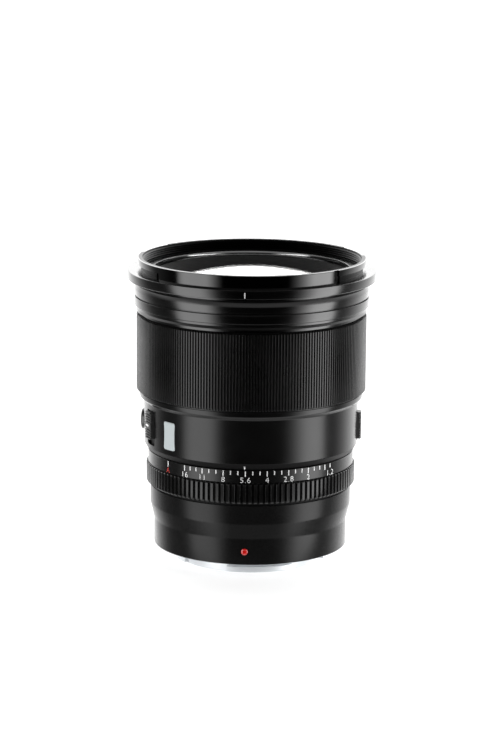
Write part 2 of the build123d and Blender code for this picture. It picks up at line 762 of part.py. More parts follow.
# Switch housing: the satin shell with its bevel, lip, switch recesses, button hole and badge recess
inner_bevel_rise = 0.9      # above the wall's foot
inner_bevel = 1.2
housing_bore = housing_radius - housing_wall
with BuildPart() as switch_housing:
    revolve(half_section(
        (housing_flange_bore, housing_z), (bevel_radius, housing_z), (housing_foot_radius, wall_z),
        (housing_radius, wall_top_z), (lip_radius, lip_z), (lip_radius, lip_top_z),
        (focus_bearing + fit_gap, lip_top_z), (focus_bearing + fit_gap, housing_seat_z),
        (housing_bore, wall_top_z - lip_seat), (housing_bore, wall_z + inner_bevel_rise),
        (housing_bore - inner_bevel, main_foot_z), (housing_flange_bore, main_foot_z)), axis=Axis.Z)
    for azimuth in (af_azimuth, click_azimuth):
        add(arc_block(azimuth, pocket_z, pocket_width, pocket_height, pocket_floor,
                      housing_radius + overcut, pocket_corner), mode=Mode.SUBTRACT)
        add(arc_block(azimuth, pocket_z, slider_stem_width + 2 * side_gap,
                      slider_stem_height + slider_travel + 4 * side_gap, housing_bore - overcut,
                      housing_radius), mode=Mode.SUBTRACT)
    with BuildSketch(side_plane(button_azimuth, button_z)):
        Circle(button_radius + side_gap)
    extrude(amount=housing_radius + overcut, mode=Mode.SUBTRACT)
    add(arc_block(badge_azimuth, badge_z, badge_width + 2 * fit_gap, badge_height + 2 * fit_gap,
                  housing_radius - badge_inlay, housing_radius + overcut, badge_corner, badge_waist),
        mode=Mode.SUBTRACT)
    for azimuth in barrel_screw_azimuths:
        add(post(azimuth, barrel_screw_circle, barrel_screw_radius + screw_gap, housing_z, main_foot_z),
            mode=Mode.SUBTRACT)
finish(switch_housing.part, "switch_housing")
with BuildPart() as badge_plate:
    add(arc_block(badge_azimuth, badge_z, badge_width, badge_height, housing_radius - badge_inlay,
                  housing_radius + badge_proud, badge_corner, badge_waist))
finish(badge_plate.part, "badge_plate")


def slider(azimuth, height):
    """A switch slider: grooved thumb piece in the recess, stem through the wall, foot and tongue inside."""
    with BuildPart() as piece:
        add(arc_block(azimuth, height, slider_width, slider_height, pocket_floor + side_gap,
                      housing_radius + slider_rise, slider_corner))
        for i in range(slider_grooves):
            offset = slider_middle + i * slider_groove_pitch
            for groove_z in (height + offset, height - offset):
                add(arc_block(azimuth, groove_z, 2 * slider_width, slider_groove,
                              housing_radius + slider_rise - slider_groove_depth,
                              housing_radius + slider_rise + overcut),
                    mode=Mode.SUBTRACT)
        add(arc_block(azimuth, height, slider_stem_width, slider_stem_height, slider_foot_radius,
                      pocket_floor + 2 * side_gap))
        add(arc_block(azimuth, height, slider_foot_size, slider_foot_size, slider_foot_radius,
                      housing_bore - side_gap))
        add(arc_block(azimuth, height, tongue_width, tongue_width, board_top + switch_rise + side_gap,
                      slider_foot_radius + side_gap))
    return piece.part


# The two sliders: focus mode at the upper end of its travel, ring click at the lower end
slider_foot_radius = housing_bore - slider_foot_depth
board_radius = main_wall_radius + fit_gap
board_thickness = 0.6
board_top = board_radius + board_thickness
switch_rise = 1.2
finish(slider(af_azimuth, pocket_z + slider_travel / 2), "af_mf_slider")
finish(slider(click_azimuth, pocket_z - slider_travel / 2), "click_slider")

# Function button: a flanged cap whose post stands over its switch
flange_out = sqrt(housing_bore**2 - button_flange_radius**2) - side_gap
with BuildPart() as fn_button:
    with BuildSketch(side_plane(button_azimuth, button_z, flange_out - button_flange)):
        Circle(button_flange_radius)
    extrude(amount=button_flange)
    with BuildSketch(side_plane(button_azimuth, button_z, flange_out)):
        Circle(button_radius)
    extrude(amount=housing_radius + button_rise - flange_out)
    fillet(fn_button.faces().sort_by(Axis.X)[0].edges(), button_round)
    with BuildSketch(side_plane(button_azimuth, button_z,
                                board_top + switch_rise + button_travel + side_gap)):
        Rectangle(tongue_width, tongue_width)
    extrude(until=Until.NEXT)
finish(fn_button.part, "fn_button")

# Switch boards on the main barrel, and the switches on them
left_board_width = 26.0
right_board_width = 12.0
switch_board_height = 11.3
slide_switch_width = 5.0
slide_switch_height = 8.0
button_switch_width = 4.0
with BuildPart() as switch_boards:
    for azimuth, width in (((af_azimuth + button_azimuth) / 2, left_board_width),
                           (click_azimuth, right_board_width)):
        add(arc_block(azimuth, pocket_z, width, switch_board_height, board_radius, board_top))
finish(switch_boards.part, "switch_boards")
with BuildPart() as board_switches:
    for azimuth in (af_azimuth, click_azimuth):
        add(arc_block(azimuth, pocket_z, slide_switch_width, slide_switch_height, board_top,
                      board_top + switch_rise))
    add(arc_block(button_azimuth, button_z, button_switch_width, button_switch_width, board_top,
                  board_top + switch_rise))
finish(board_switches.part, "board_switches")

# Aperture ring: foot, coarse knurl and scale band, with detent notches in its bore
ring_bore = spigot_radius + running_gap
ring_foot_z = shoulder_z + side_gap
ring_chamfer = 0.8
rib_chamfer = 0.5
ring_edge = 0.1
scale_edge = 0.2
knurl_foot_z = knurl_z - ring_chamfer
knurl_top_z = knurl_z + knurl_height
notch_radius = 0.45
notch_count = detents_per_stop * detent_stops
with BuildPart() as aperture_ring:
    add(ribbed_ring(ring_bore, knurl_root, knurl_crest, knurl_count, knurl_crest_share, knurl_root_share,
                    knurl_foot_z, knurl_top_z))
    revolve(half_section(
        (knurl_root - ring_edge, knurl_foot_z), (knurl_crest + ring_edge, knurl_foot_z - ring_edge),
        (knurl_crest + ring_edge, knurl_foot_z + ring_chamfer)), axis=Axis.Z, mode=Mode.SUBTRACT)
    revolve(half_section(
        (knurl_crest - rib_chamfer, knurl_top_z), (knurl_crest + ring_edge, knurl_top_z - rib_chamfer),
        (knurl_crest + ring_edge, knurl_top_z + ring_edge)), axis=Axis.Z, mode=Mode.SUBTRACT)
    revolve(ring_section(ring_bore, ring_foot_radius, ring_foot_z, knurl_foot_z), axis=Axis.Z)
    revolve(half_section(
        (ring_bore, knurl_top_z), (scale_radius - scale_step, knurl_top_z), (scale_radius, scale_z),
        (scale_radius, scale_top_z - scale_edge), (scale_radius - scale_edge, scale_top_z),
        (ring_bore, scale_top_z)), axis=Axis.Z)
    with BuildSketch(Plane.XY.offset(detent_z - detent_height)):
        with PolarLocations(ring_bore, notch_count, detent_azimuth - 90 - stop_angle * detent_stops_below,
                            notch_count * stop_angle / detents_per_stop):
            Circle(notch_radius)
    extrude(amount=2 * detent_height, mode=Mode.SUBTRACT)
finish(aperture_ring.part, "aperture_ring")

# Detent spring: a leaf in the spigot whose bump clicks into the ring's notches
with BuildPart() as detent_spring:
    add(arc_block(detent_azimuth, detent_z, detent_length, detent_height, detent_floor + fit_gap,
                  detent_floor + fit_gap + detent_leaf))
    add(arc_block(detent_azimuth, detent_z, detent_bump, detent_height, detent_floor + fit_gap,
                  spigot_radius - fit_gap))
finish(detent_spring.part, "detent_spring")

# Iris: base plate with the pivot holes and a rim, eleven blades, cam ring, cover plate
base_top_z = iris_z + iris_base_thickness
cam_z = base_top_z + (blade_count + 1) * blade_pitch + side_gap
cam_top_z = cam_z + cam_thickness
cover_z = cam_top_z + side_gap
cover_top_z = cover_z + cover_thickness
tooth_rise = tooth_rise_share * gear_module
tooth_depth = tooth_depth_share * gear_module
cam_radius = cam_pitch_radius - tooth_depth
rim_inner = iris_radius - iris_rim
hub_wall = 1.0
hub_radius = stop_radius + hub_wall
with BuildPart() as iris_base:
    revolve(half_section(
        (stop_radius, iris_z), (iris_radius, iris_z), (iris_radius, cover_z), (rim_inner, cover_z),
        (rim_inner, base_top_z), (stop_radius, base_top_z)), axis=Axis.Z)
    with BuildSketch(Plane.XY.offset(iris_z)):
        with PolarLocations(pivot_radius, blade_count):
            Circle(pin_radius + running_gap)
        with Locations(polar(pinion_circle, pinion_azimuth)):
            Circle(pinion_shaft + running_gap)
    extrude(amount=iris_base_thickness, mode=Mode.SUBTRACT)
    add(post(pinion_azimuth, pinion_circle, pinion_pitch_radius + 2 * tooth_rise, base_top_z, cover_z),
        mode=Mode.SUBTRACT)
finish(iris_base.part, "iris_base")

blade_inner = stop_radius + blade_edge
blade_outer = pivot_radius - blade_margin
blade_width = blade_outer - blade_inner
blade_middle = (blade_outer + blade_inner) / 2
blade_end = degrees(asin(blade_width / 2 / blade_middle))
drive_x = pivot_radius * cos(radians(drive_lag))
drive_y = -pivot_radius * sin(radians(drive_lag))


def iris_blade(index):
    """A crescent blade with its pivot pin below and its drive pin above, in its own plane."""
    foot = base_top_z + (index + 1) * blade_pitch
    with BuildPart() as blade:
        with BuildSketch(Plane.XY.offset(foot)):
            with BuildLine(mode=Mode.PRIVATE) as spine:
                CenterArc((0, 0), blade_middle, blade_start, blade_span - blade_end - blade_start)
            SlotArc(spine.edges()[0], blade_width)
            with BuildLine(mode=Mode.PRIVATE) as heel:
                Line((pivot_radius, 0), (drive_x, drive_y))
            SlotArc(heel.edges()[0], 2 * lobe_radius)
            with BuildLine(mode=Mode.PRIVATE) as neck:
                Line((pivot_radius, 0), (blade_middle, 0))
            SlotArc(neck.edges()[0], 2 * lobe_radius)
        extrude(amount=blade_thickness)
        with BuildSketch(Plane.XY.offset(iris_z + side_gap)):
            with Locations((pivot_radius, 0)):
                Circle(pin_radius)
        extrude(amount=foot + blade_thickness / 2 - iris_z - side_gap)
        with BuildSketch(Plane.XY.offset(foot + blade_thickness / 2)):
            with Locations((drive_x, drive_y)):
                Circle(pin_radius)
        extrude(amount=cam_top_z - side_gap - foot - blade_thickness / 2)
    with BuildPart() as placed:
        with Locations(Location((0, 0, 0), (0, 0, index * 360 / blade_count))):
            add(blade.part)
    return placed.part


for index in range(blade_count):
    finish(iris_blade(index), f"iris_blade_{index + 1:02d}")


def drive_pin_place(turn):
    """Where a blade's drive pin stands in the cam ring when the ring has turned."""
    swing = radians(blade_ratio * turn)
    along = drive_x - pivot_radius
    x = pivot_radius + along * cos(swing) - drive_y * sin(swing)
    y = along * sin(swing) + drive_y * cos(swing)
    back = radians(-turn)
    return x * cos(back) - y * sin(back), x * sin(back) + y * cos(back)


def tooth_outline(pitch_radius):
    """The four corners of a straight-sided tooth that points along X."""
    half = pi * gear_module / 4 - gear_backlash / 4
    slope = tan(radians(pressure_angle))
    tip = half - tooth_rise * slope
    root = half + (tooth_depth + tooth_overlap) * slope
    inner = pitch_radius - tooth_depth - tooth_overlap
    return [(inner, -root), (pitch_radius + tooth_rise, -tip), (pitch_radius + tooth_rise, tip),
            (inner, root)]


# Cam ring: eleven curved slots for the drive pins, and a toothed sector for the pinion
with BuildPart() as iris_cam_ring:
    with BuildSketch(Plane.XY.offset(cam_z)):
        Circle(cam_radius)
        for i in range(sector_teeth):
            angle = pinion_azimuth - 90 + (i + 0.5 - (sector_teeth - sector_teeth_past)) * 360 / cam_teeth
            with Locations(Location((0, 0, 0), angle)):
                Polygon(*tooth_outline(cam_pitch_radius), align=None)
        Circle(hub_radius + running_gap, mode=Mode.SUBTRACT)
        with BuildLine(mode=Mode.PRIVATE) as slot_line:
            ThreePointArc(*(drive_pin_place(turn) for turn in (0, cam_turn / 2, cam_turn)))
        with PolarLocations(0, blade_count):
            SlotArc(slot_line.edges()[0], 2 * (pin_radius + running_gap), mode=Mode.SUBTRACT)
    extrude(amount=cam_thickness)
finish(iris_cam_ring.part, "iris_cam_ring")

# Cover plate: its hub centres the cam ring and it carries the iris motor
with BuildPart() as iris_cover:
    revolve(half_section(
        (stop_radius, cam_z), (hub_radius, cam_z), (hub_radius, cover_z), (iris_radius, cover_z),
        (iris_radius, cover_top_z), (stop_radius, cover_top_z)), axis=Axis.Z)
    add(post(pinion_azimuth, pinion_circle, pinion_shaft + running_gap, cover_z, cover_top_z),
        mode=Mode.SUBTRACT)
finish(iris_cover.part, "iris_cover")

# Iris motor on the cover plate, and its pinion
pinion_grip = 2.5           # inside the motor
pinion_shaft_top_z = cover_top_z + pinion_grip
with BuildPart() as iris_motor:
    add(post(pinion_azimuth, pinion_circle, iris_motor_radius, cover_top_z, cover_top_z + iris_motor_length))
    chamfer(iris_motor.faces().sort_by(Axis.Z)[-1].edges(), motor_chamfer)
    add(post(pinion_azimuth, pinion_circle, pinion_shaft + running_gap, cover_top_z,
             pinion_shaft_top_z + side_gap), mode=Mode.SUBTRACT)
finish(iris_motor.part, "iris_motor")
with BuildPart() as pinion_blank:
    with BuildSketch(Plane.XY.offset(cam_z)):
        Circle(pinion_pitch_radius - tooth_depth)
        for i in range(pinion_teeth):
            with Locations(Location((0, 0, 0), pinion_azimuth + 90 + i * 360 / pinion_teeth)):
                Polygon(*tooth_outline(pinion_pitch_radius), align=None)
    extrude(amount=cam_thickness)
with BuildPart() as iris_pinion:
    with Locations((*polar(pinion_circle, pinion_azimuth), 0)):
        add(pinion_blank.part)
    add(post(pinion_azimuth, pinion_circle, pinion_shaft, iris_z + side_gap, pinion_shaft_top_z))
finish(iris_pinion.part, "iris_pinion")

# Focus ring: a wide ring with fine upright ribs, and a hub at each end that stands against its stops
with BuildPart() as focus_ring:
    add(ribbed_ring(focus_bore, focus_root, focus_crest, focus_rib_count, focus_crest_share,
                    focus_root_share, focus_z, focus_top_z))
    revolve(ring_section(focus_bore, focus_hub_radius, lip_top_z + side_gap, focus_z), axis=Axis.Z)
    revolve(ring_section(focus_bore, focus_hub_radius, focus_top_z, front_z - side_gap), axis=Axis.Z)
finish(focus_ring.part, "focus_ring")

# Focus sensor: reads the ring through a window in the main barrel
sensor_width = 6.0
sensor_height = 5.0
sensor_depth = 1.8
with BuildPart() as focus_sensor:
    add(arc_block(sensor_azimuth, sensor_z, sensor_width, sensor_height, front_bore - sensor_depth,
                  front_bore - fit_gap))
finish(focus_sensor.part, "focus_sensor")

# Front barrel: two bands, a groove and the lower steps, screwed onto the main barrel
step_top_z = step_z + step_height
band_foot_z = step_top_z + step_rise
cell_shoulder_z = main_top_z + front_shoulder
front_opening = 33.8
with BuildPart() as front_barrel:
    revolve(half_section(
        (focus_bearing + fit_gap, front_z), (front_groove_radius, front_z),
        (front_groove_radius, step_z), (step_radius, step_z), (step_radius, step_top_z),
        (second_step_radius, band_foot_z), (second_step_radius, band_foot_z + second_step_height),
        (band_radius, lower_band_z), (band_radius, lower_band_z + lower_band_height),
        (band_radius - band_groove_depth, lower_band_z + lower_band_height),
        (band_radius - band_groove_depth, upper_band_z), (upper_band_radius, upper_band_z),
        (upper_band_radius, band_chamfer_z), (band_chamfer_radius, collar_z),
        (front_cell_radius + fit_gap, collar_z), (front_cell_radius + fit_gap, cell_shoulder_z),
        (front_opening, cell_shoulder_z), (front_opening, main_top_z),
        (focus_bearing + fit_gap, main_top_z)), axis=Axis.Z)
finish(front_barrel.part, "front_barrel")

# Front cell: tube for the three front lenses, seated on the front barrel's shoulder
front_cell_drop = 0.8       # below the name ring
retainer_wall = 1.4
lower_wall = 2.4
pair_ledge = 1.6
pair_ledge_height = 0.9
second_ledge_height = 1.5
front_seat_z = edge_z(front_glass, 1) - seat_touch
second_seat_z = edge_z(second_glass, 1) - seat_touch
pair_seat_z = edge_z(front_pair, -1) - seat_touch
front_bore_z = edge_z(front_glass, 0) + side_gap
front_cell_top_z = name_ring_z - front_cell_drop
lower_tube_foot_z = pair_seat_z - pair_ledge_height
lower_tube_top_z = second_seat_z - second_ledge_height
retainer_bore = front_glass["edge"] + retainer_wall
lower_tube = front_pair["edge"] + lower_wall
pair_bore = front_pair["edge"] - pair_ledge
with BuildPart() as front_cell:
    revolve(half_section(
        (pair_bore, lower_tube_foot_z), (lower_tube, lower_tube_foot_z),
        (lower_tube, lower_tube_top_z), (front_opening - side_gap, lower_tube_top_z),
        (front_opening - side_gap, cell_shoulder_z), (front_cell_radius, cell_shoulder_z),
        (front_cell_radius, front_cell_top_z), (retainer_bore, front_cell_top_z),
        (retainer_bore, front_bore_z), (front_glass["edge"] + fit_gap, front_bore_z),
        (front_glass["edge"] + fit_gap, front_seat_z), (second_glass["edge"] + fit_gap, front_seat_z),
        (second_glass["edge"] + fit_gap, second_seat_z), (front_pair["edge"] + fit_gap, second_seat_z),
        (front_pair["edge"] + fit_gap, pair_seat_z), (pair_bore, pair_seat_z)), axis=Axis.Z)
finish(front_cell.part, "front_cell")
finish(Compound(children=[element(front_pair, 0), element(front_pair, 1)]), "front_doublet")
finish(element(second_glass, 0), "second_element")
finish(element(front_glass, 0), "front_element")

# Front retainer: threaded ring whose inside is the baffle cone above the front glass
retainer_z = edge_z(front_glass, 0, cone_foot_radius) + seat_touch
with BuildPart() as front_retainer:
    revolve(half_section(
        (cone_foot_radius, retainer_z), (retainer_bore - fit_gap, retainer_z),
        (retainer_bore - fit_gap, name_ring_z - side_gap), (cone_top_radius, name_ring_z - side_gap)),
        axis=Axis.Z)
finish(front_retainer.part, "front_retainer")

# Name ring: a flat ring on the collar's ledge, its face left bare
name_ring_top_z = name_ring_z + name_ring_thickness
name_seat_radius = thread_radius - name_ring_ledge
with BuildPart() as name_ring:
    revolve(half_section(
        (name_ring_bore, name_ring_z), (name_seat_radius - fit_gap, name_ring_z),
        (name_seat_radius - fit_gap, name_ring_top_z), (name_ring_bore + name_ring_cone, name_ring_top_z),
        (name_ring_bore, name_ring_top_z - name_ring_cone_height)), axis=Axis.Z)
finish(name_ring.part, "name_ring")

# Front collar: neck, wide flange, and the rim with the filter thread inside and the hood bayonet outside
with BuildPart() as front_collar:
    revolve(half_section(
        (front_cell_radius + 2 * side_gap, collar_z), (neck_radius, collar_z), (neck_radius, flange_z),
        (flange_radius - flange_edge, flange_z), (flange_radius, flange_z + flange_edge),
        (flange_radius, rim_z - flange_edge), (flange_radius - flange_edge, rim_z),
        (rim_foot_radius, rim_z), (rim_radius, rim_top_z - rim_edge), (rim_radius - rim_edge, rim_top_z),
        (thread_radius + rim_edge, rim_top_z), (thread_radius, rim_top_z - rim_edge),
        (thread_radius, name_ring_top_z), (name_seat_radius, name_ring_top_z),
        (name_seat_radius, name_ring_z), (front_cell_radius + 2 * side_gap, name_ring_z)), axis=Axis.Z)
    for first, last, top in ((hood_front_angle, hood_entry_end, rim_z + hood_groove_height),
                             (hood_lip_end, hood_entry_end, rim_top_z)):
        add(sector(hood_groove_radius, flange_radius, rim_z, top, first, last), mode=Mode.SUBTRACT)
        add(sector(hood_groove_radius, flange_radius, rim_z, top, -last, -first), mode=Mode.SUBTRACT)
    add(sector(rim_radius - hood_stop_depth, flange_radius, rim_z, rim_top_z + overcut,
               hood_front_angle - hood_stop_angle, hood_front_angle + hood_stop_angle / 2),
        mode=Mode.SUBTRACT)
    for azimuth in (hood_bump_azimuth, -hood_bump_azimuth):
        add(arc_block(azimuth, rim_z + hood_groove_height / 2, hood_bump_width, hood_groove_height,
                      hood_groove_radius - fit_gap, hood_groove_radius + hood_bump_rise))
finish(front_collar.part, "front_collar")
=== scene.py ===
import json
from math import cos, pi, radians, sin, sqrt

import bmesh
import bpy
from mathutils import Matrix, Vector


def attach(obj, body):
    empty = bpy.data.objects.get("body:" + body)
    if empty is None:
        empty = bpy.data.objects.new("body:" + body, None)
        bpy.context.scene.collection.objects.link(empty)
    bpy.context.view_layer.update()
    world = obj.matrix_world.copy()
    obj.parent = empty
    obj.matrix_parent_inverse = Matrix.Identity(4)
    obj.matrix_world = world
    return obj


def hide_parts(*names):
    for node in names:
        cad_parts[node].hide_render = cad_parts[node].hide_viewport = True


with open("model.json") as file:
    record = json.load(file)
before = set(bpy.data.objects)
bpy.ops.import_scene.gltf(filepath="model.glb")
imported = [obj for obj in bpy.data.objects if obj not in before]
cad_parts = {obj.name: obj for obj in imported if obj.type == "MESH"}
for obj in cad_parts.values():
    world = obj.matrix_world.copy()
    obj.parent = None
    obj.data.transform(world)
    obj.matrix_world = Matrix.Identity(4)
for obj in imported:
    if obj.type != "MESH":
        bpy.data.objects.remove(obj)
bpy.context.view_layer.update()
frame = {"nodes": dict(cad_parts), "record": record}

# Bayonet mount: brass, turned with its tube and seat and milled to leave four tabs, then satin chromed.
# Four countersunk screws hold it. Sizes here and below are in millimetres, heights are above its rear
# edge, and an azimuth runs from the index marks (-Y) towards +X.
mm = 0.001
throat_radius = 24.0
tube_radius = 26.0
tab_radius = 27.4
tab_foot = 0.35
tab_top = 2.35
tab_angle = 51.0
tab_azimuths = (11.3, 101.3, 191.3, 281.3)
tab_edge = 0.18
seat_z = 4.7
seat_relief = 0.3
mount_radius = 31.5
mount_top_z = 7.0
baffle_seat_radius = 22.9
baffle_top_z = 4.4
mount_screw_circle = 29.6
mount_screw_azimuths = (33.0, 123.0, 213.0, 303.0)
mount_screw_head = 1.7
mount_screw_shank = 0.9
lock_hole_azimuth = 100.0
lock_hole_radius = 1.5
lock_hole_depth = 1.6
past = 1.0                  # how far a cutting shape runs past the surface it opens
doubles_apart = 0.0005
whole_turn = 360.0
part_turn_steps = 48


def half_section(points, rounding):
    """A closed half section of (radius, height) points. A third value is that corner's own rounding."""
    bm = bmesh.new()
    verts = [bm.verts.new((point[0], 0, point[1])) for point in points]
    bm.faces.new(verts)
    sizes = [point[2] if len(point) > 2 else rounding for point in points]
    for size in sorted(set(sizes) - {0}):
        bmesh.ops.bevel(bm, geom=[vert for vert, own in zip(verts, sizes) if own == size], offset=size,
                        affect="VERTICES", segments=3, profile=0.5, material=-1)
    return bm


def spun(bm, steps=240, first=0.0, last=whole_turn):
    """Turns a half section round the optical axis, once round or from one azimuth to another."""
    once_round = last - first == whole_turn
    if once_round:
        bmesh.ops.delete(bm, geom=bm.faces[:], context="FACES_ONLY")
        for edge in [edge for edge in bm.edges if all(abs(vert.co.x) < mm for vert in edge.verts)]:
            bm.edges.remove(edge)
    else:
        rotated(bm, first - 90, "Z")
    bmesh.ops.spin(bm, geom=all_of(bm), cent=(0, 0, 0), axis=(0, 0, 1), angle=radians(last - first),
                   steps=steps, use_merge=once_round)
    return clean(bm)


def clean(bm):
    """Merges doubles and points the faces outwards."""
    bmesh.ops.remove_doubles(bm, verts=bm.verts, dist=doubles_apart)
    bmesh.ops.recalc_face_normals(bm, faces=bm.faces)
    return bm


def all_of(bm):
    """All that a shape is made of."""
    return bm.verts[:] + bm.edges[:] + bm.faces[:]


def corners_in(geometry):
    """The vertices among the elements that an operator made."""
    return [part for part in geometry if isinstance(part, bmesh.types.BMVert)]


def moved(bm, step):
    """Moves a whole shape."""
    bmesh.ops.translate(bm, verts=bm.verts, vec=step)
    return bm


def rotated(bm, degrees, axis):
    """Rotates a whole shape about the X, Y or Z axis."""
    bmesh.ops.rotate(bm, verts=bm.verts, cent=(0, 0, 0), matrix=Matrix.Rotation(radians(degrees), 3, axis))
    return bm


def turned(points, rounding=0.1, steps=240):
    """A piece turned on the optical axis."""
    return spun(half_section(points, rounding), steps)


def polar(radius, azimuth, height=0.0):
    """A point round the optical axis."""
    return Vector((radius * sin(radians(azimuth)), -radius * cos(radians(azimuth)), height))


def post(azimuth, circle, radius, foot, top, top_radius):
    """A round bar or cone parallel to the optical axis."""
    bm = bmesh.new()
    bmesh.ops.create_cone(bm, cap_ends=True, segments=32, radius1=radius, radius2=top_radius,
                          depth=top - foot)
    return moved(bm, polar(circle, azimuth, (foot + top) / 2))


def gathered(*shapes):
    """One bmesh that holds several separate shapes."""
    bm = bmesh.new()
    for shape in shapes:
        mesh = bpy.data.meshes.new("shape")
        shape.to_mesh(mesh)
        shape.free()
        bm.from_mesh(mesh)
        bpy.data.meshes.remove(mesh)
    return bm


def placed(bm, name, *finish):
    """An object made of a shape, in the scene."""
    mesh = bpy.data.meshes.new(name)
    bm.to_mesh(mesh)
    bm.free()
    for material in finish:
        mesh.materials.append(material)
    made = bpy.data.objects.new(name, mesh)
    bpy.context.scene.collection.objects.link(made)
    return made


def joined(shape, tool, operation="UNION"):
    """A closed shape joined with another or cut by it, by the exact Boolean modifier."""
    pair = [placed(clean(part), "shape") for part in (shape, tool)]
    modifier = pair[0].modifiers.new("joined", "BOOLEAN")
    modifier.operation = operation
    modifier.object = pair[1]
    modifier.solver = "EXACT"
    result = bmesh.new()
    result.from_object(pair[0], bpy.context.evaluated_depsgraph_get())
    for part in pair:
        mesh = part.data
        bpy.data.objects.remove(part)
        bpy.data.meshes.remove(mesh)
    return result


def cut(shape, tool):
    """A closed shape cut by another."""
    return joined(shape, tool, "DIFFERENCE")


def piece(bm, name, finish, body, slot, *nodes, sharp=28.0):
    """A finished piece: it rides on its body and stands for its nodes. Edges turn sharp past that angle."""
    bmesh.ops.scale(bm, vec=(mm, mm, mm), verts=bm.verts)
    for face in bm.faces:
        face.smooth = True
    for edge in bm.edges:
        edge.smooth = edge.is_manifold and edge.calc_face_angle() < radians(sharp)
    made = placed(bm, name, finish)
    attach(made, body)
    if nodes:
        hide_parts(*nodes)


class Socket:
    """One output of a node in a finish. Arithmetic on it adds Math nodes."""

    def __init__(self, tree, output=None):
        self.tree = tree
        self.output = output

    def node(self, kind, settings=None, inputs=None, result=0):
        """Adds a node of any other kind: its settings first, then the values or links of its sockets."""
        made = self.tree.nodes.new("ShaderNode" + kind)
        for name, value in (settings or {}).items():
            setattr(made, name, value)
        for name, value in (inputs or {}).items():
            if isinstance(value, Socket):
                self.tree.links.new(value.output, made.inputs[name])
            else:
                made.inputs[name].default_value = value
        return Socket(self.tree, made.outputs[result] if made.outputs else None)

    def maths(self, operation, first, second=0.0):
        return self.node("Math", {"operation": operation}, {0: first, 1: second})

    def __add__(self, other):
        return self.maths("ADD", self, other)

    __radd__ = __add__

    def __sub__(self, other):
        return self.maths("SUBTRACT", self, other)

    def __rsub__(self, other):
        return self.maths("SUBTRACT", other, self)

    def __mul__(self, other):
        return self.maths("MULTIPLY", self, other)

    __rmul__ = __mul__

    def __truediv__(self, other):
        return self.maths("DIVIDE", self, other)


def new_finish(name):
    """A new material, and the place on its piece in Object coordinates."""
    material = bpy.data.materials.new(name)
    material.use_nodes = True
    material.node_tree.nodes.clear()
    return material, Socket(material.node_tree).node("TexCoord", result="Object")


def noise(place, size, detail=2.0):
    """Noise from 0 to 1, with features of that size in millimetres."""
    return place.node("TexNoise", inputs={"Vector": place, "Scale": 1 / (size * mm), "Detail": detail})


def grey(level, warmth=0.0):
    """A grey as a colour, a little warm or cool."""
    return (level * (1 + warmth), level, level * (1 - warmth), 1)


def blend(factor, first, second):
    """A colour between two others."""
    return factor.node("Mix", {"data_type": "RGBA"}, {0: factor, 6: first, 7: second}, result=2)


def radius_of(place):
    """Distance from the optical axis, in metres."""
    across = place.node("VectorMath", {"operation": "MULTIPLY"}, {0: place, 1: (1, 1, 0)})
    return across.node("VectorMath", {"operation": "LENGTH"}, {0: across}, result="Value")


def height_of(place):
    """The Z of a place or a direction."""
    return place.node("SeparateXYZ", inputs={0: place}, result=2)


def turning_lines(place, pitch):
    """Fine lines left by turning, a pitch apart in millimetres, along the radius and the height."""
    along = (radius_of(place) + height_of(place)) / (pitch * mm)
    return place.node("TexNoise", {"noise_dimensions": "1D"}, {"W": along, "Scale": 1.0, "Detail": 1.0})


def bumped(height, depth):
    """A normal from a height of 0 to 1 and its depth in millimetres."""
    return height.node("Bump", inputs={"Strength": 1.0, "Distance": depth * mm, "Height": height})


def surface(place, **sockets):
    """The surface shader at the end of a finish, with its sockets' names written with underscores."""
    inputs = {name.replace("_", " "): value for name, value in sockets.items()}
    shader = place.node("BsdfPrincipled", inputs=inputs)
    place.node("OutputMaterial", inputs={"Surface": shader})


def turned_metal(name, dark, light, roughness, pitch=0.12, depth=0.0012, metallic=1.0):
    """Bare or plated metal with turning lines and a faint mottling."""
    finish, place = new_finish(name)
    lines = turning_lines(place, pitch)
    mottle = noise(place, 2.5, 3)
    surface(place, Base_Color=blend(mottle * 0.6 + lines * 0.4, dark, light), Metallic=metallic,
            Roughness=roughness + (mottle - 0.5) * 0.08, Normal=bumped(lines, depth))
    return finish


chromed_brass = turned_metal("chromed_brass", (0.56, 0.58, 0.60, 1), (0.64, 0.66, 0.68, 1), 0.34,
                             metallic=0.2)
mount = turned([(throat_radius, 0, 0.25), (tube_radius, 0, 0.3), (tube_radius, seat_z + seat_relief, 0),
                (tab_radius + seat_relief, seat_z + seat_relief, 0), (tab_radius + seat_relief, seat_z),
                (mount_radius, seat_z, 0.15), (mount_radius, mount_top_z),
                (baffle_seat_radius, mount_top_z), (baffle_seat_radius, baffle_top_z),
                (throat_radius, baffle_top_z, 0)])
tabs = gathered(*(spun(half_section([(tube_radius - past, tab_foot), (tab_radius, tab_foot),
                                     (tab_radius, tab_top), (tube_radius - past, tab_top)], tab_edge),
                       part_turn_steps, azimuth - tab_angle / 2, azimuth + tab_angle / 2)
                  for azimuth in tab_azimuths))
mount = joined(mount, tabs)
mount = cut(mount, gathered(
    *(post(azimuth, mount_screw_circle, mount_screw_shank, seat_z, mount_top_z + past, mount_screw_shank)
      for azimuth in mount_screw_azimuths),
    post(lock_hole_azimuth, mount_screw_circle, lock_hole_radius, seat_z - past, seat_z + lock_hole_depth,
         lock_hole_radius)))
mount = cut(mount, gathered(
    *(post(azimuth, mount_screw_circle, mount_screw_head + past, seat_z - past, seat_z + mount_screw_head, 0)
      for azimuth in mount_screw_azimuths)))
piece(mount, "bayonet_mount_turned", chromed_brass, "barrel", "chromed_brass", "bayonet_mount")

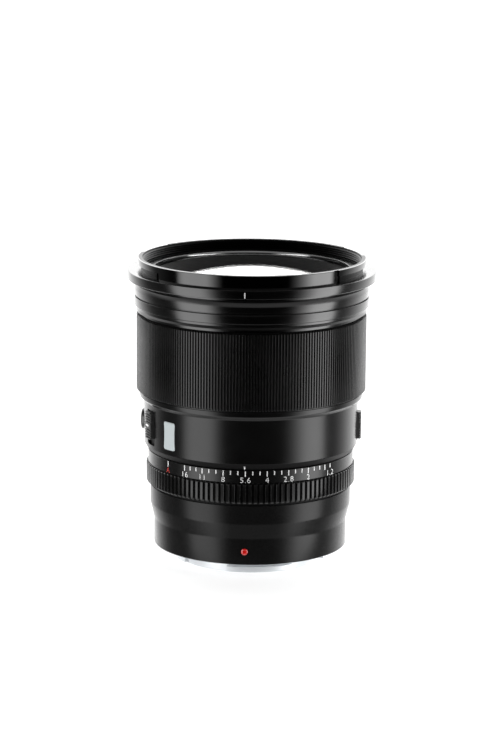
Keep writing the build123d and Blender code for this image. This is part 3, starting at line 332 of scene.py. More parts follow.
# Mount screws: countersunk, with a cross recess, driven from the rear into the barrel's ledge.
# Plain steel, passivated, so a little darker than the chrome round them.
screw_head_z = 4.75
screw_tip_z = 9.0
recess_width = 0.34
recess_reach = 1.05
recess_depth = 0.7
steel = turned_metal("steel", (0.34, 0.34, 0.35, 1), (0.52, 0.52, 0.52, 1), 0.3, pitch=0.08)


def screw_with_cross(azimuth):
    """One countersunk screw with its cross recess."""
    cone_top_z = screw_head_z + mount_screw_head - mount_screw_shank
    screw = turned([(0, screw_head_z), (mount_screw_head, screw_head_z, 0.08),
                    (mount_screw_shank, cone_top_z),
                    (mount_screw_shank, screw_tip_z, 0.2), (0, screw_tip_z)], 0, 32)
    cross = bmesh.new()
    for sizes in ((recess_reach, recess_width), (recess_width, recess_reach)):
        slot = bmesh.ops.create_cube(cross, size=2)["verts"]
        bmesh.ops.scale(cross, vec=(*sizes, recess_depth), verts=slot)
    screw = cut(screw, moved(cross, (0, 0, screw_head_z)))
    return moved(screw, polar(mount_screw_circle, azimuth))


piece(gathered(*(screw_with_cross(azimuth) for azimuth in mount_screw_azimuths)),
      "mount_screws_crossed", steel, "barrel", "steel", "mount_screws")

# Mount gasket: a moulded rubber ring in a groove of the rear barrel, just short of the seat.
# It shows as a thin dull line under the barrel.
gasket_inner = 32.25
gasket_outer = 33.35
gasket_foot = 4.75
gasket_top = 5.9
gasket_rubber, place = new_finish("gasket_rubber")
bloom = noise(place, 1.2, 4)
surface(place, Base_Color=blend(bloom, grey(0.012), grey(0.022)), Roughness=0.62 + bloom * 0.2,
        Normal=bumped(noise(place, 0.12), 0.004))
piece(turned([(gasket_inner, gasket_foot, 0.3), (gasket_outer, gasket_foot, 0.3), (gasket_outer, gasket_top),
              (gasket_inner, gasket_top)], 0.08),
      "mount_gasket_moulded", gasket_rubber, "barrel", "gasket_rubber", "mount_gasket")

# Rear baffle: a blackened plate with a window a little larger than the picture.
# It is pressed and dipped in flat black, and sits in the mount's throat.
baffle_radius = 23.95
baffle_foot_z = 3.4
window_width = 31.0
window_height = 22.0
window_corner = 3.0


def matt_black(name, level, roughness=0.7, grain=0.15):
    """Flat black paint with a fine dusty grain."""
    finish, place = new_finish(name)
    dust = noise(place, grain, 3)
    cloud = noise(place, 4, 2)
    surface(place, Base_Color=blend(dust * 0.5 + cloud * 0.5, grey(level * 0.6), grey(level * 1.4)),
            Roughness=roughness + (dust - 0.5) * 0.15, Normal=bumped(dust, 0.004))
    return finish


def rounded_plate(width, height, corner, foot, top, segments=6):
    """A flat plate with rounded corners, centred on its own Z axis."""
    bm = bmesh.new()
    corners = [bm.verts.new((x * width / 2, y * height / 2, foot))
               for x, y in ((-1, -1), (1, -1), (1, 1), (-1, 1))]
    bm.faces.new(corners)
    if corner:
        bmesh.ops.bevel(bm, geom=corners, offset=corner, affect="VERTICES", segments=segments, profile=0.5,
                        material=-1)
    lifted = bmesh.ops.extrude_face_region(bm, geom=bm.faces[:])["geom"]
    bmesh.ops.translate(bm, verts=corners_in(lifted), vec=(0, 0, top - foot))
    return clean(bm)


matte_black = matt_black("matte_black", 0.02)
baffle = turned([(0, baffle_foot_z), (baffle_radius, baffle_foot_z), (baffle_radius, baffle_top_z),
                 (0, baffle_top_z)], 0.06)
baffle = cut(baffle, rounded_plate(window_width, window_height, window_corner, baffle_foot_z - past,
                                   baffle_top_z + past))
piece(baffle, "rear_baffle_plate", matte_black, "barrel", "matte_black", "rear_baffle")

# Contacts: eleven gold-plated pins, domed at the end, in a moulded block opposite the index bead.
# The block is glass-filled plastic and screwed behind the baffle.
contact_inner = 20.6
block_foot_z = 0.7
contact_half_angle = 27.0
contact_count = 11
contact_pitch = 4.2
contact_circle = 22.3
contact_radius = 0.5
contact_tip_z = 0.35
contact_dome = 0.22
contact_plastic = matt_black("contact_plastic", 0.02, 0.5)
gold = turned_metal("gold", (0.70, 0.47, 0.16, 1), (0.86, 0.62, 0.26, 1), 0.22, pitch=0.05)
piece(spun(half_section([(contact_inner, block_foot_z), (baffle_radius, block_foot_z),
                         (baffle_radius, baffle_foot_z, 0), (contact_inner, baffle_foot_z, 0)], 0.25),
           part_turn_steps, 180 - contact_half_angle, 180 + contact_half_angle),
      "contact_block_moulded", contact_plastic, "barrel", "contact_plastic", "contact_block")


def contact_pin(index):
    """One pin with a domed tip."""
    pin = turned([(0, contact_tip_z), (contact_radius, contact_tip_z, contact_dome),
                  (contact_radius, block_foot_z, 0), (0, block_foot_z, 0)], 0, 24)
    return moved(pin, polar(contact_circle, 180 + (index - (contact_count - 1) / 2) * contact_pitch))


piece(gathered(*(contact_pin(index) for index in range(contact_count))),
      "contact_pins_domed", gold, "barrel", "gold", "contact_pins")

# Rear barrel: turned aluminium, beaded fine and anodised black, with a band, a taper and a waist.
# The aperture ring turns on the spigot above its shoulder.
rear_edge_z = 5.0
rear_radius = 34.2
rear_chamfer = 0.3
band_top_z = 14.2
taper_top_z = 19.9
waist_radius = 35.65
shoulder_z = 26.4
spigot_radius = 34.3
spigot_bore = 32.3
spigot_top_z = 39.6
cell_seat_z = 20.0
rear_bore = 31.0
ledge_top_z = 9.2
ledge_bore = 28.0
fit = 0.05
beyond = 100.0              # further out than any piece


def within(place, radius, foot_z):
    """1 inside a radius and above a height, and 0 elsewhere."""
    inside = place.maths("LESS_THAN", radius_of(place), radius * mm)
    return inside * place.maths("GREATER_THAN", height_of(place), foot_z * mm)


def anodised(name, level, roughness, grain=0.09, depth=0.0016, specular=0.5, shade_and_dull=None, bright=None):
    """Black anodised aluminium: a fine beaded grain, and a faint mottling of its tone and gloss.
    Inside a radius and above a height it may be rougher and painted darker as shade, and above another height
    polished brighter."""
    finish, place = new_finish(name)
    grains = noise(place, grain, 2)
    cloud = noise(place, 7, 3)
    colour = blend(cloud * 0.7 + grains * 0.3, grey(level * 0.75, 0.02), grey(level * 1.3))
    gloss = (cloud - 0.5) * 0.06 + (grains - 0.5) * 0.06 + roughness
    metallic = 0.0
    if bright:
        gloss = gloss - within(place, beyond, bright) * (roughness * 0.5)
    if shade_and_dull:
        # Painted shade: here the colour goes near black and the reflection dims, besides the rougher finish.
        metallic = within(place, *shade_and_dull)
        colour = blend(metallic, colour, grey(0.008))
        gloss = gloss + metallic * 0.3
    surface(place, Base_Color=colour, Metallic=metallic, Roughness=gloss, Normal=bumped(grains, depth),
            Specular_IOR_Level=specular)
    return finish


satin_black = anodised("satin_black", 0.0035, 0.27, specular=0.15)
rear_barrel = turned([
    (mount_radius + fit, rear_edge_z, 0.05), (rear_radius, rear_edge_z, rear_chamfer),
    (rear_radius, band_top_z, 0.25), (waist_radius, taper_top_z, 0.25), (waist_radius, shoulder_z, 0.2),
    (spigot_radius, shoulder_z, 0), (spigot_radius, spigot_top_z), (spigot_bore, spigot_top_z),
    (spigot_bore, cell_seat_z, 0), (rear_bore, cell_seat_z), (rear_bore, ledge_top_z, 0),
    (ledge_bore, ledge_top_z), (ledge_bore, mount_top_z), (mount_radius + fit, mount_top_z, 0)])
piece(rear_barrel, "rear_barrel_turned", satin_black, "barrel", "satin_black", "rear_barrel")

# Index bead: a drop of red enamel that sits in a drilled seat of the rear band and stands proud of it.
# It lines up with the camera's own mark when the lens is put on.
bead_z = 9.7
bead_radius = 1.2
bead_sink = 0.8
bead_rise = 0.55
bead_rings = 10
red_enamel, place = new_finish("red_enamel")
depth_of_colour = noise(place, 0.8, 2)
surface(place, Base_Color=blend(depth_of_colour, (0.34, 0.004, 0.003, 1), (0.5, 0.009, 0.006, 1)),
        Roughness=0.14 + depth_of_colour * 0.06, Coat_Weight=0.6, Coat_Roughness=0.05)
bead = bmesh.new()
bmesh.ops.create_uvsphere(bead, u_segments=40, v_segments=2 * bead_rings, radius=bead_radius)
bmesh.ops.bisect_plane(bead, geom=all_of(bead), plane_co=(0, 0, 0), plane_no=(0, 0, 1), clear_inner=True)
rim = [edge for edge in bead.edges if edge.is_boundary]
bmesh.ops.scale(bead, vec=(1, 1, bead_rise / bead_radius), verts=bead.verts)
sunk = bmesh.ops.extrude_edge_only(bead, edges=rim)["geom"]
bmesh.ops.translate(bead, verts=corners_in(sunk), vec=(0, 0, -bead_sink))
bmesh.ops.holes_fill(bead, edges=[edge for edge in bead.edges if edge.is_boundary])
bead = moved(rotated(bead, 90, "X"), polar(rear_radius, 0, bead_z))
piece(clean(bead), "mount_index_drop", red_enamel, "barrel", "red_enamel", "mount_index_bead")

# Glass: three single lenses and four cemented pairs, ground, polished and coated, each held in its cell.
# A lens is given by its surfaces, each with its vertex on the axis and its radius of curvature, and its edge.
front_glass = ((103.8, 84.0), (94.8, 420.0), 33.2)
second_glass = ((94.2, 58.0), (85.6, 130.0), 31.0)
front_pair = ((84.8, 46.0), (76.6, 150.0), (74.0, 52.0), 27.0)
middle_pair = ((51.8, -38.0), (49.8, -150.0), (44.5, -60.0), 22.0)
focus_pair = ((34.0, 90.0), (28.6, -70.0), (26.9, 120.0), 19.0)
rear_pair = ((23.6, 110.0), (17.5, -80.0), (15.8, 90.0), 20.0)
rear_glass = ((9.8, -80.0), (6.6, -150.0), 19.5)
arc_steps = 24
lens_steps = 240
tint_radius = 33.0
coated_glass, place = new_finish("coated_glass")
outward = radius_of(place) / (tint_radius * mm)
surface(place, Base_Color=blend(outward * outward * 0.5 + noise(place, 9, 3) * 0.1, grey(1),
                                (0.93, 0.90, 0.84, 1)),
        Roughness=0.0, Transmission_Weight=1.0, IOR=1.62)


def sagitta(vertex, curvature, radius):
    """Height of a spherical surface at a radius. A positive curvature bulges to the front."""
    return vertex - curvature + (1 if curvature > 0 else -1) * sqrt(curvature**2 - radius**2)


def lens(front, rear, edge, steps=120):
    """One lens between two spherical surfaces, each a vertex height and a radius of curvature."""
    rims = [edge * i / arc_steps for i in range(arc_steps + 1)]
    points = [(radius, sagitta(*front, radius), 0) for radius in rims]
    points += [(radius, sagitta(*rear, radius), 0) for radius in reversed(rims)]
    return turned(points, 0, steps)


for node, shape in (("rear_element", rear_glass), ("second_element", second_glass),
                    ("front_element", front_glass)):
    piece(lens(*shape, lens_steps), f"{node}_polished", coated_glass, "barrel", "coated_glass", node,
          sharp=50)
for node, body, pair in (("rear_doublet", "barrel", rear_pair), ("middle_doublet", "barrel", middle_pair),
                         ("focus_doublet", "focus_carriage", focus_pair),
                         ("front_doublet", "barrel", front_pair)):
    first, middle, last, edge = pair
    piece(gathered(lens(first, (middle[0] + fit, middle[1]), edge), lens(middle, last, edge)),
          f"{node}_polished", coated_glass, body, "coated_glass", node, sharp=50)

# Aperture ring: turned from aluminium, with a coarse knurl of rounded upright ribs below a smooth scale band.
# It is beaded and anodised black, and clicks as it turns on the rear barrel's spigot.
ring_bore = 34.38
ring_foot_z = 26.5
ring_foot_radius = 35.3
ring_foot_top_z = 27.2
knurl_top_z = 34.55
knurl_root = 36.25
knurl_crest = 37.05
knurl_count = 120
knurl_lead = 0.05
knurl_shade_and_dull_radius = 36.33
knurl_rows = ((27.92, 0.94, 1), (28.07, 1, 1), (34.05, 1, 1), (34.27, 0.88, 0.95), (34.47, 0.5, 0.8),
              (knurl_top_z, 0, 0.6))
scale_radius = 36.45
scale_top_z = 39.3
scale_step = 0.15
scale_edge = 0.2
rib_shape = ((-0.5, 0.0), (-0.4, 0.03), (-0.34, 0.3), (-0.28, 0.84), (-0.22, 1.0), (0.22, 1.0), (0.28, 0.84),
             (0.34, 0.3), (0.4, 0.03), (0.5, 0.0))


def ribbed(shape, count, rows):
    """A ring made of one ribbed pitch repeated round the axis. A row is its height and its radius at the
    root, and on the ribs also how far a rib rises there, and its width as a share of the full one."""
    bm = bmesh.new()
    pitch = whole_turn / count
    line = [bm.verts.new((share, 0, 0)) for share, rise in shape]
    edges = [bm.edges.new(pair) for pair in zip(line, line[1:])]
    first_edges = edges
    loops = [line]
    for _ in rows[1:]:
        grown = bmesh.ops.extrude_edge_only(bm, edges=edges)["geom"]
        verts = sorted(corners_in(grown), key=lambda vert: vert.co.x)
        edges = [bm.edges.get(pair) for pair in zip(verts, verts[1:])]
        loops.append(verts)
    for verts, row in zip(loops, rows):
        height, root, rise, width = (*row, 0, 1)[:4]
        for vert, (share, lift) in zip(verts, shape):
            own = share if abs(share) == 0.5 else share * width
            vert.co = polar(root + lift * rise, own * pitch, height)
    bmesh.ops.bridge_loops(bm, edges=first_edges + edges)
    bmesh.ops.spin(bm, geom=all_of(bm), cent=(0, 0, 0), axis=(0, 0, 1), angle=radians(whole_turn - pitch),
                   steps=count - 1, use_duplicate=True)
    return clean(bm)


ring = ribbed(rib_shape, knurl_count, [
    (scale_top_z, ring_bore), (ring_foot_z, ring_bore), (ring_foot_z, ring_foot_radius),
    (ring_foot_top_z, ring_foot_radius), (ring_foot_top_z, knurl_root - 2 * knurl_lead),
    (ring_foot_top_z + knurl_lead, knurl_root - knurl_lead),
    *((height, knurl_root, (knurl_crest - knurl_root) * rise, width) for height, rise, width in knurl_rows),
    (knurl_top_z + scale_step, scale_radius - scale_step), (knurl_top_z + 2 * scale_step, scale_radius),
    (scale_top_z - scale_edge, scale_radius), (scale_top_z, scale_radius - scale_edge)])
# Inside a radius, the roots between the ribs and the foot below are rougher and painted darker, as shade.
ring_black = anodised("ring_black", 0.0018, 0.26, specular=0.27, shade_and_dull=(knurl_shade_and_dull_radius, 0))
piece(ring, "aperture_ring_knurled", ring_black, "aperture_ring", "satin_black", "aperture_ring", sharp=40)

# Scale marks: engraved in the ring's upper band and filled with paint, white but for the automatic setting's.
# A full stop has a long tick and a number, and two short ticks part it from the next.
mark_proud = 0.02
mark_sink = 0.15
stop_azimuths = {"16": -35.6, "11": -24.1, "8": -11.8, "5.6": 0.4, "4": 12.3, "2.8": 24.4, "2": 36.4}
auto_azimuth = -48.8
widest_azimuth = 52.5
long_stop_azimuth = 48.3
tick_top_z = 39.0
long_tick = 1.9
short_tick = 1.4
tick_width = 0.36
number_foot_z = 34.9
number_height = 1.95
number_font_size = 1.41 * number_height
number_spacing = 1.12
number_widening = 1.05
number_thinning = -0.025


def paint(name, dark, light):
    """Matt paint that fills an engraved mark."""
    finish, place = new_finish(name)
    grain = noise(place, 0.2, 2)
    surface(place, Base_Color=blend(grain, dark, light), Roughness=0.5 + grain * 0.15)
    return finish


def wrapped(bm, azimuth, height, radius):
    """Bends a flat shape round the barrel: X along the arc at that radius, Y up and Z out."""
    for vert in bm.verts:
        turn = azimuth + vert.co.x / radius * 180 / pi
        vert.co = polar(radius + vert.co.z, turn, height + vert.co.y)
    bmesh.ops.recalc_face_normals(bm, faces=bm.faces)
    return bm


def tick(azimuth, top, length, radius, width=tick_width, lean=0.0):
    """A painted tick, hung from its top end. It leans out by so much a millimetre on a cone."""
    bm = rounded_plate(width, length, width * 0.2, -mark_sink, mark_proud, 2)
    for vert in bm.verts:
        vert.co.z += (vert.co.y - length / 2) * lean
    return wrapped(bm, azimuth, top - length / 2, radius)


def numeral(text, azimuth):
    """Characters of the scale, centred on an azimuth."""
    curve = bpy.data.curves.new("numeral", "FONT")
    curve.body = text
    curve.align_x = "CENTER"
    curve.size = number_font_size
    curve.extrude = (mark_sink + mark_proud) / 2
    curve.resolution_u = 4
    curve.offset = number_thinning
    curve.space_character = number_spacing
    writing = bpy.data.objects.new("numeral", curve)
    bpy.context.scene.collection.objects.link(writing)
    bm = bmesh.new()
    mesh = bpy.data.meshes.new_from_object(writing.evaluated_get(bpy.context.evaluated_depsgraph_get()))
    bm.from_mesh(mesh)
    bpy.data.objects.remove(writing)
    bpy.data.curves.remove(curve)
    bpy.data.meshes.remove(mesh)
    clean(bm)
    bmesh.ops.scale(bm, vec=(number_widening, 1, 1), verts=bm.verts)
    return wrapped(moved(bm, (0, 0, (mark_proud - mark_sink) / 2)), azimuth, number_foot_z, scale_radius)


mark_paint = paint("mark_paint", grey(0.5), grey(0.64))
red_paint = paint("red_paint", (0.3, 0.012, 0.008, 1), (0.42, 0.02, 0.012, 1))
marks = [tick(azimuth, tick_top_z, long_tick, scale_radius)
         for azimuth in (*stop_azimuths.values(), auto_azimuth, long_stop_azimuth)]
azimuths = sorted(stop_azimuths.values())
between = [first + (second - first) * third / 3
           for first, second in zip(azimuths, (*azimuths[1:], long_stop_azimuth)) for third in (1, 2)]
marks += [tick(azimuth, tick_top_z, short_tick, scale_radius) for azimuth in (*between, widest_azimuth)]
marks += [numeral(text, azimuth) for text, azimuth in (*stop_azimuths.items(), ("1.2", widest_azimuth))]
piece(gathered(*marks), "aperture_scale_marks", mark_paint, "aperture_ring", "badge_white")
piece(numeral("A", auto_azimuth), "aperture_auto_mark", red_paint, "aperture_ring", "red_enamel")

# Switch housing: a turned and milled aluminium shell, beaded and anodised satin black.
# Its lower bevel carries the index line, and it has two switch recesses, a button hole and a badge recess.
# The bevel and the recesses are rougher than the wall, and painted darker as shade.
housing_foot_z = 39.6
bevel_foot_radius = 36.4
bevel_top_z = 41.7
housing_foot_radius = 37.8
housing_radius = 38.0
wall_top_z = 57.2
lip_foot_z = 58.5
lip_radius = 39.45
lip_top_z = 60.2
lip_bore = 38.65
lip_floor_z = 58.9
housing_bore = 36.4
housing_bore_foot_z = 42.6
housing_bore_top_z = 56.8
housing_shade_and_dull_radius = 37.76
housing_flange_radius = 35.2
housing_flange_bore = 32.7
housing_flange_top_z = 41.2
pocket_width = 6.6
pocket_height = 12.3
pocket_corner = 0.9
pocket_floor = 36.95
pocket_z = 49.05
pocket_edge = 0.18
slot_width = 3.2
slot_height = 6.0
slot_corner = 0.3
auto_focus_azimuth = -64.6
click_azimuth = 90.0
slider_azimuths = (auto_focus_azimuth, click_azimuth)
button_azimuth = -90.0
button_z = 48.65
button_hole = 3.8
badge_azimuth = -44.9
badge_z = 48.55
badge_width = 5.75
badge_height = 9.8
badge_waist = 0.25
badge_recess_edge = 0.05
badge_corner = 0.8
badge_floor = 37.6


def sliced(bm, width, slices, across=(1, 0, 0)):
    """Divides a flat shape across its width, so that it can bend."""
    for i in range(1, slices):
        bmesh.ops.bisect_plane(bm, geom=all_of(bm), plane_no=across,
                               plane_co=Vector(across) * (width * i / slices - width / 2))
    return bm


def waisted(bm, width, tall, waist):
    """Draws in the long sides of a flat shape, most of all at half its height."""
    for vert in sliced(bm, tall, 8, (0, 1, 0)).verts:
        vert.co.x *= 1 - 2 * waist / width * (1 - min(1, (2 * vert.co.y / tall) ** 2))
    return bm


def recess(azimuth, height, width, tall, corner, floor, edge, waist=0.0):
    """The shape that cuts a recess into the housing, flared at the surface for a chamfered edge."""
    wall = housing_radius - floor
    low = rounded_plate(width, tall, corner, 0, wall - edge)
    flare = rounded_plate(width, tall, corner, wall - edge, wall + past)
    for vert in flare.verts:
        if vert.co.z > wall:
            grow = edge + past
            vert.co.x += grow if vert.co.x > 0 else -grow
            vert.co.y += grow if vert.co.y > 0 else -grow
    shape = waisted(joined(low, flare), width, tall, waist)
    return wrapped(sliced(shape, width + 2 * past, 12), azimuth, height, floor)


housing = turned([
    (housing_flange_bore, housing_foot_z), (bevel_foot_radius, housing_foot_z, 0.12),
    (housing_foot_radius, bevel_top_z, 0.2), (housing_radius, wall_top_z, 0.2), (lip_radius, lip_foot_z, 0.2),
    (lip_radius, lip_top_z, 0.12), (lip_bore, lip_top_z), (lip_bore, lip_floor_z, 0),
    (housing_bore, housing_bore_top_z, 0), (housing_bore, housing_bore_foot_z, 0),
    (housing_flange_radius, housing_flange_top_z, 0), (housing_flange_bore, housing_flange_top_z)])
housing = cut(housing, gathered(
    *(recess(azimuth, pocket_z, pocket_width, pocket_height, pocket_corner, pocket_floor, pocket_edge)
      for azimuth in slider_azimuths),
    recess(badge_azimuth, badge_z, badge_width + 2 * fit, badge_height + 2 * fit, badge_corner, badge_floor,
           badge_recess_edge, badge_waist)))
slots = []
for azimuth in slider_azimuths:
    slot = rounded_plate(slot_width, slot_height, slot_corner, housing_bore - pocket_floor - past,
                         housing_radius - pocket_floor)
    slots.append(wrapped(sliced(slot, slot_width, 4), azimuth, pocket_z, pocket_floor))
housing = cut(housing, gathered(*slots))
hole = bmesh.new()
bmesh.ops.create_cone(hole, cap_ends=True, segments=64, radius1=button_hole, radius2=button_hole,
                      depth=2 * (lip_radius - housing_flange_bore))
housing = cut(housing, moved(rotated(hole, 90, "Y"), polar(housing_radius, button_azimuth, button_z)))
housing_black = anodised("housing_black", 0.0016, 0.24, specular=0.25, shade_and_dull=(housing_shade_and_dull_radius, 0))
piece(housing, "switch_housing_milled", housing_black, "barrel", "satin_black", "switch_housing")

# Index line: engraved across the housing's lower bevel and filled with white paint.
# The aperture scale is read against it.
index_top_z = 40.8
index_length = 1.15
index_width = 0.42
bevel_lean = (housing_foot_radius - bevel_foot_radius) / (bevel_top_z - housing_foot_z)
index_radius = bevel_foot_radius + (index_top_z - housing_foot_z) * bevel_lean
piece(tick(0, index_top_z, index_length, index_radius, index_width, bevel_lean), "housing_index_line",
      mark_paint, "barrel", "badge_white")

# Badge plate: a thin pale plate of satin plastic, drawn in at its long sides and glued into its recess.
# Its face is left bare.
badge_top = 38.08
badge_edge = 0.08
badge_white, place = new_finish("badge_white")
plate_grain = noise(place, 0.35, 3)
surface(place, Base_Color=blend(plate_grain, (0.27, 0.30, 0.305, 1), (0.33, 0.36, 0.365, 1)),
        Roughness=0.32 + plate_grain * 0.1)


def eased_plate(width, height, corner, tall, offset, segments):
    """A flat plate that stands on 0, with the edges round its top bevelled."""
    bm = rounded_plate(width, height, corner, 0, tall)
    top_edges = [edge for edge in bm.edges if all(vert.co.z > tall / 2 for vert in edge.verts)]
    bmesh.ops.bevel(bm, geom=top_edges, offset=offset, affect="EDGES", segments=segments, profile=0.5,
                    material=-1)
    return bm


badge = eased_plate(badge_width, badge_height, badge_corner, badge_top - badge_floor, badge_edge, 2)
badge = sliced(waisted(badge, badge_width, badge_height, badge_waist), badge_width, 8)
piece(wrapped(badge, badge_azimuth, badge_z, badge_floor), "badge_plate_bare", badge_white, "barrel",
      "badge_white", "badge_plate")

# Sliders: moulded thumb pieces with cross grooves above and below a flat middle.
# Each slides in its recess on a stem through the housing's wall. The focus one has a white dash.
slider_width = 4.8
slider_height = 9.7
slider_corner = 0.7
slider_top = 39.25
slider_foot = 37.05
slider_travel = 2.0
slider_edge = 0.35
groove_width = 0.45
groove_flare = 1.9
groove_depth = 0.5
groove_pitch = 0.9
first_groove = 1.35
groove_offsets = [side * (first_groove + i * groove_pitch) for side in (-1, 1) for i in range(4)]
stem_parts = ((3.0, 3.6, 35.2, 37.55), (6.0, 6.0, 35.1, 36.3), (2.0, 2.0, 34.55, 35.2))
dash_width = 2.64
dash_height = 0.62
dash_corner = 0.15
stem_corner = 0.2


def slider(azimuth, height):
    """One slider: a grooved knob, and behind it its stem, foot and tongue."""
    tall = slider_top - slider_foot
    knob = eased_plate(slider_width, slider_height, slider_corner, tall, slider_edge, 3)
    grooves = []
    for offset in groove_offsets:
        groove = rounded_plate(2 * slider_width, groove_width, 0, tall - groove_depth, tall + past)
        for vert in groove.verts:
            if vert.co.z > tall:
                vert.co.y *= groove_flare
        grooves.append(moved(groove, (0, offset, 0)))
    knob = cut(knob, gathered(*grooves))
    knob = wrapped(sliced(knob, slider_width, 10), azimuth, height, slider_foot)
    for width, long, foot, top in stem_parts:
        block = sliced(rounded_plate(width, long, stem_corner, 0, top - foot), width, 3)
        knob = joined(knob, wrapped(block, azimuth, height, foot))
    return knob


switch_black = matt_black("switch_black", 0.012, 0.42, 0.2)
auto_focus_z = pocket_z + slider_travel / 2
piece(slider(auto_focus_azimuth, auto_focus_z), "af_mf_slider_moulded", switch_black, "af_mf_slider",
      "switch_black", "af_mf_slider")
piece(slider(click_azimuth, pocket_z - slider_travel / 2), "click_slider_moulded", switch_black,
      "click_slider", "switch_black", "click_slider")
dash = sliced(rounded_plate(dash_width, dash_height, dash_corner, -mark_sink, mark_proud, 3), dash_width, 4)
piece(wrapped(dash, auto_focus_azimuth, auto_focus_z, slider_top), "af_mf_slider_dash", mark_paint,
      "af_mf_slider", "badge_white")

# Function button: a round cap moulded in satin black plastic, slightly domed.
# A flange inside the housing keeps it in, and its post presses on the switch.
button_radius = 3.7
button_top = 39.2
button_dome = 0.42
button_shoulder = 38.612
button_post = 1.0
button_post_foot = 34.95
button_edge = 0.3
button_flange = 4.5
button_flange_top = 36.02
button_foot = 35.32
dome_steps = 6
button_black = matt_black("button_black", 0.014, 0.3, 0.2)
dome = [(button_radius * i / dome_steps, button_top - button_dome * (i / dome_steps) ** 2, 0)
        for i in range(dome_steps)]
button = turned([*dome, (button_radius, button_shoulder, button_edge),
                 (button_radius, button_flange_top, 0), (button_flange, button_flange_top),
                 (button_flange, button_foot), (button_post, button_foot), (button_post, button_post_foot),
                 (0, button_post_foot, 0)], 0.05, 64)
button = moved(rotated(button, -90, "Y"), (0, 0, button_z))
piece(button, "fn_button_domed", button_black, "fn_button", "switch_black", "fn_button")

# Focus ring: turned aluminium, black anodised, with fine upright ribs milled round it and chamfered at both
# ends. It turns without end, and the ribs' flanks and roots are rougher than their tops and painted darker as
# shade.
focus_bore = 38.68
focus_hub_radius = 39.3
focus_root = 40.1
focus_crest = 40.55
focus_foot_z = 60.7
focus_top_z = 87.8
focus_hub_foot_z = 60.3
focus_hub_top_z = 87.9
focus_rib_count = 240
focus_end_height = 0.4
focus_end_radius = 39.95
focus_shade_and_dull_radius = 40.22
focus_rib_shape = ((-0.5, 0), (-0.35, 0), (-0.25, 0.85), (-0.19, 1), (0.19, 1), (0.25, 0.85), (0.35, 0),
                   (0.5, 0))
focus_rise = focus_crest - focus_root
focus_ring = ribbed(focus_rib_shape, focus_rib_count, [
    (focus_hub_top_z, focus_bore), (focus_hub_foot_z, focus_bore), (focus_hub_foot_z, focus_hub_radius),
    (focus_foot_z, focus_hub_radius), (focus_foot_z, focus_end_radius),
    (focus_foot_z + focus_end_height, focus_root, focus_rise, 1),
    (focus_top_z - focus_end_height, focus_root, focus_rise, 1), (focus_top_z, focus_end_radius),
    (focus_top_z, focus_hub_radius), (focus_hub_top_z, focus_hub_radius)])
rib_black = anodised("rib_black", 0.0018, 0.28, 0.12, 0.002, 0.28, shade_and_dull=(focus_shade_and_dull_radius, focus_foot_z))
piece(focus_ring, "focus_ring_ribbed", rib_black, "focus_ring", "satin_black", "focus_ring", sharp=40)

# Front barrel: turned aluminium in two steps and two bands with a groove between, polished before it was
# anodised gloss black. It holds the front cell and keeps the focus ring in its place.
front_z = 88.0
bearing_bore = 38.65
front_groove_radius = 39.4
front_step_z = 89.0
step_radius = 40.55
step_edge_z = 89.2
step_cone_radius = 40.05
second_step_radius = 40.65
second_step_z = 90.2
second_step_top_z = 90.95
band_radius = 41.4
lower_band_z = 91.3
lower_band_top_z = 94.3
band_groove_radius = 40.4
upper_band_z = 94.85
upper_band_radius = 41.3
upper_band_top_z = 97.0
collar_z = 98.65
band_chamfer_radius = 40.85
front_cell_bore = 35.55
cell_shoulder_z = 91.5
front_opening = 33.8
main_top_z = 90.0
gloss_black = anodised("gloss_black", 0.0004, 0.2, 0.12, 0.0005)
front_barrel = turned([
    (bearing_bore, front_z), (front_groove_radius, front_z, 0.05), (front_groove_radius, front_step_z, 0),
    (step_radius, front_step_z, 0.08), (step_radius, step_edge_z, 0), (step_cone_radius, second_step_z, 0),
    (second_step_radius, second_step_z, 0.04), (second_step_radius, second_step_top_z, 0),
    (band_radius, lower_band_z, 0.05), (band_radius, lower_band_top_z, 0.15),
    (band_groove_radius, lower_band_top_z, 0), (band_groove_radius, upper_band_z, 0),
    (upper_band_radius, upper_band_z, 0.1), (upper_band_radius, upper_band_top_z, 0.25),
    (band_chamfer_radius, collar_z, 0.05), (front_cell_bore, collar_z), (front_cell_bore, cell_shoulder_z, 0),
    (front_opening, cell_shoulder_z), (front_opening, main_top_z), (bearing_bore, main_top_z, 0)])
piece(front_barrel, "front_barrel_turned", gloss_black, "barrel", "gloss_black", "front_barrel", sharp=20)

# Front retainer: the threaded ring that holds the first lens, turned from aluminium and painted flat black.
# Its inside is a cone with fine steps against stray light.
retainer_outer = 34.55
retainer_z = 97.4
retainer_top_z = 102.2
cone_foot_radius = 32.3
cone_foot_z = 97.65
cone_top_radius = 33.9
cone_steps = 9
step_width = 0.12
step_height = 0.1
steps = []
for i in range(cone_steps + 1):
    share = i / cone_steps
    radius = cone_foot_radius + (cone_top_radius - cone_foot_radius) * share
    height = cone_foot_z + (retainer_top_z - cone_foot_z) * share
    steps += [(radius, height, 0), (radius + step_width, height + step_height, 0)]
front_retainer = turned([*steps[:-1], (retainer_outer, retainer_top_z), (retainer_outer, retainer_z),
                         (cone_foot_radius, retainer_z, 0)][::-1], 0.05)
piece(front_retainer, "front_retainer_stepped", matte_black, "barrel", "matte_black", "front_retainer")

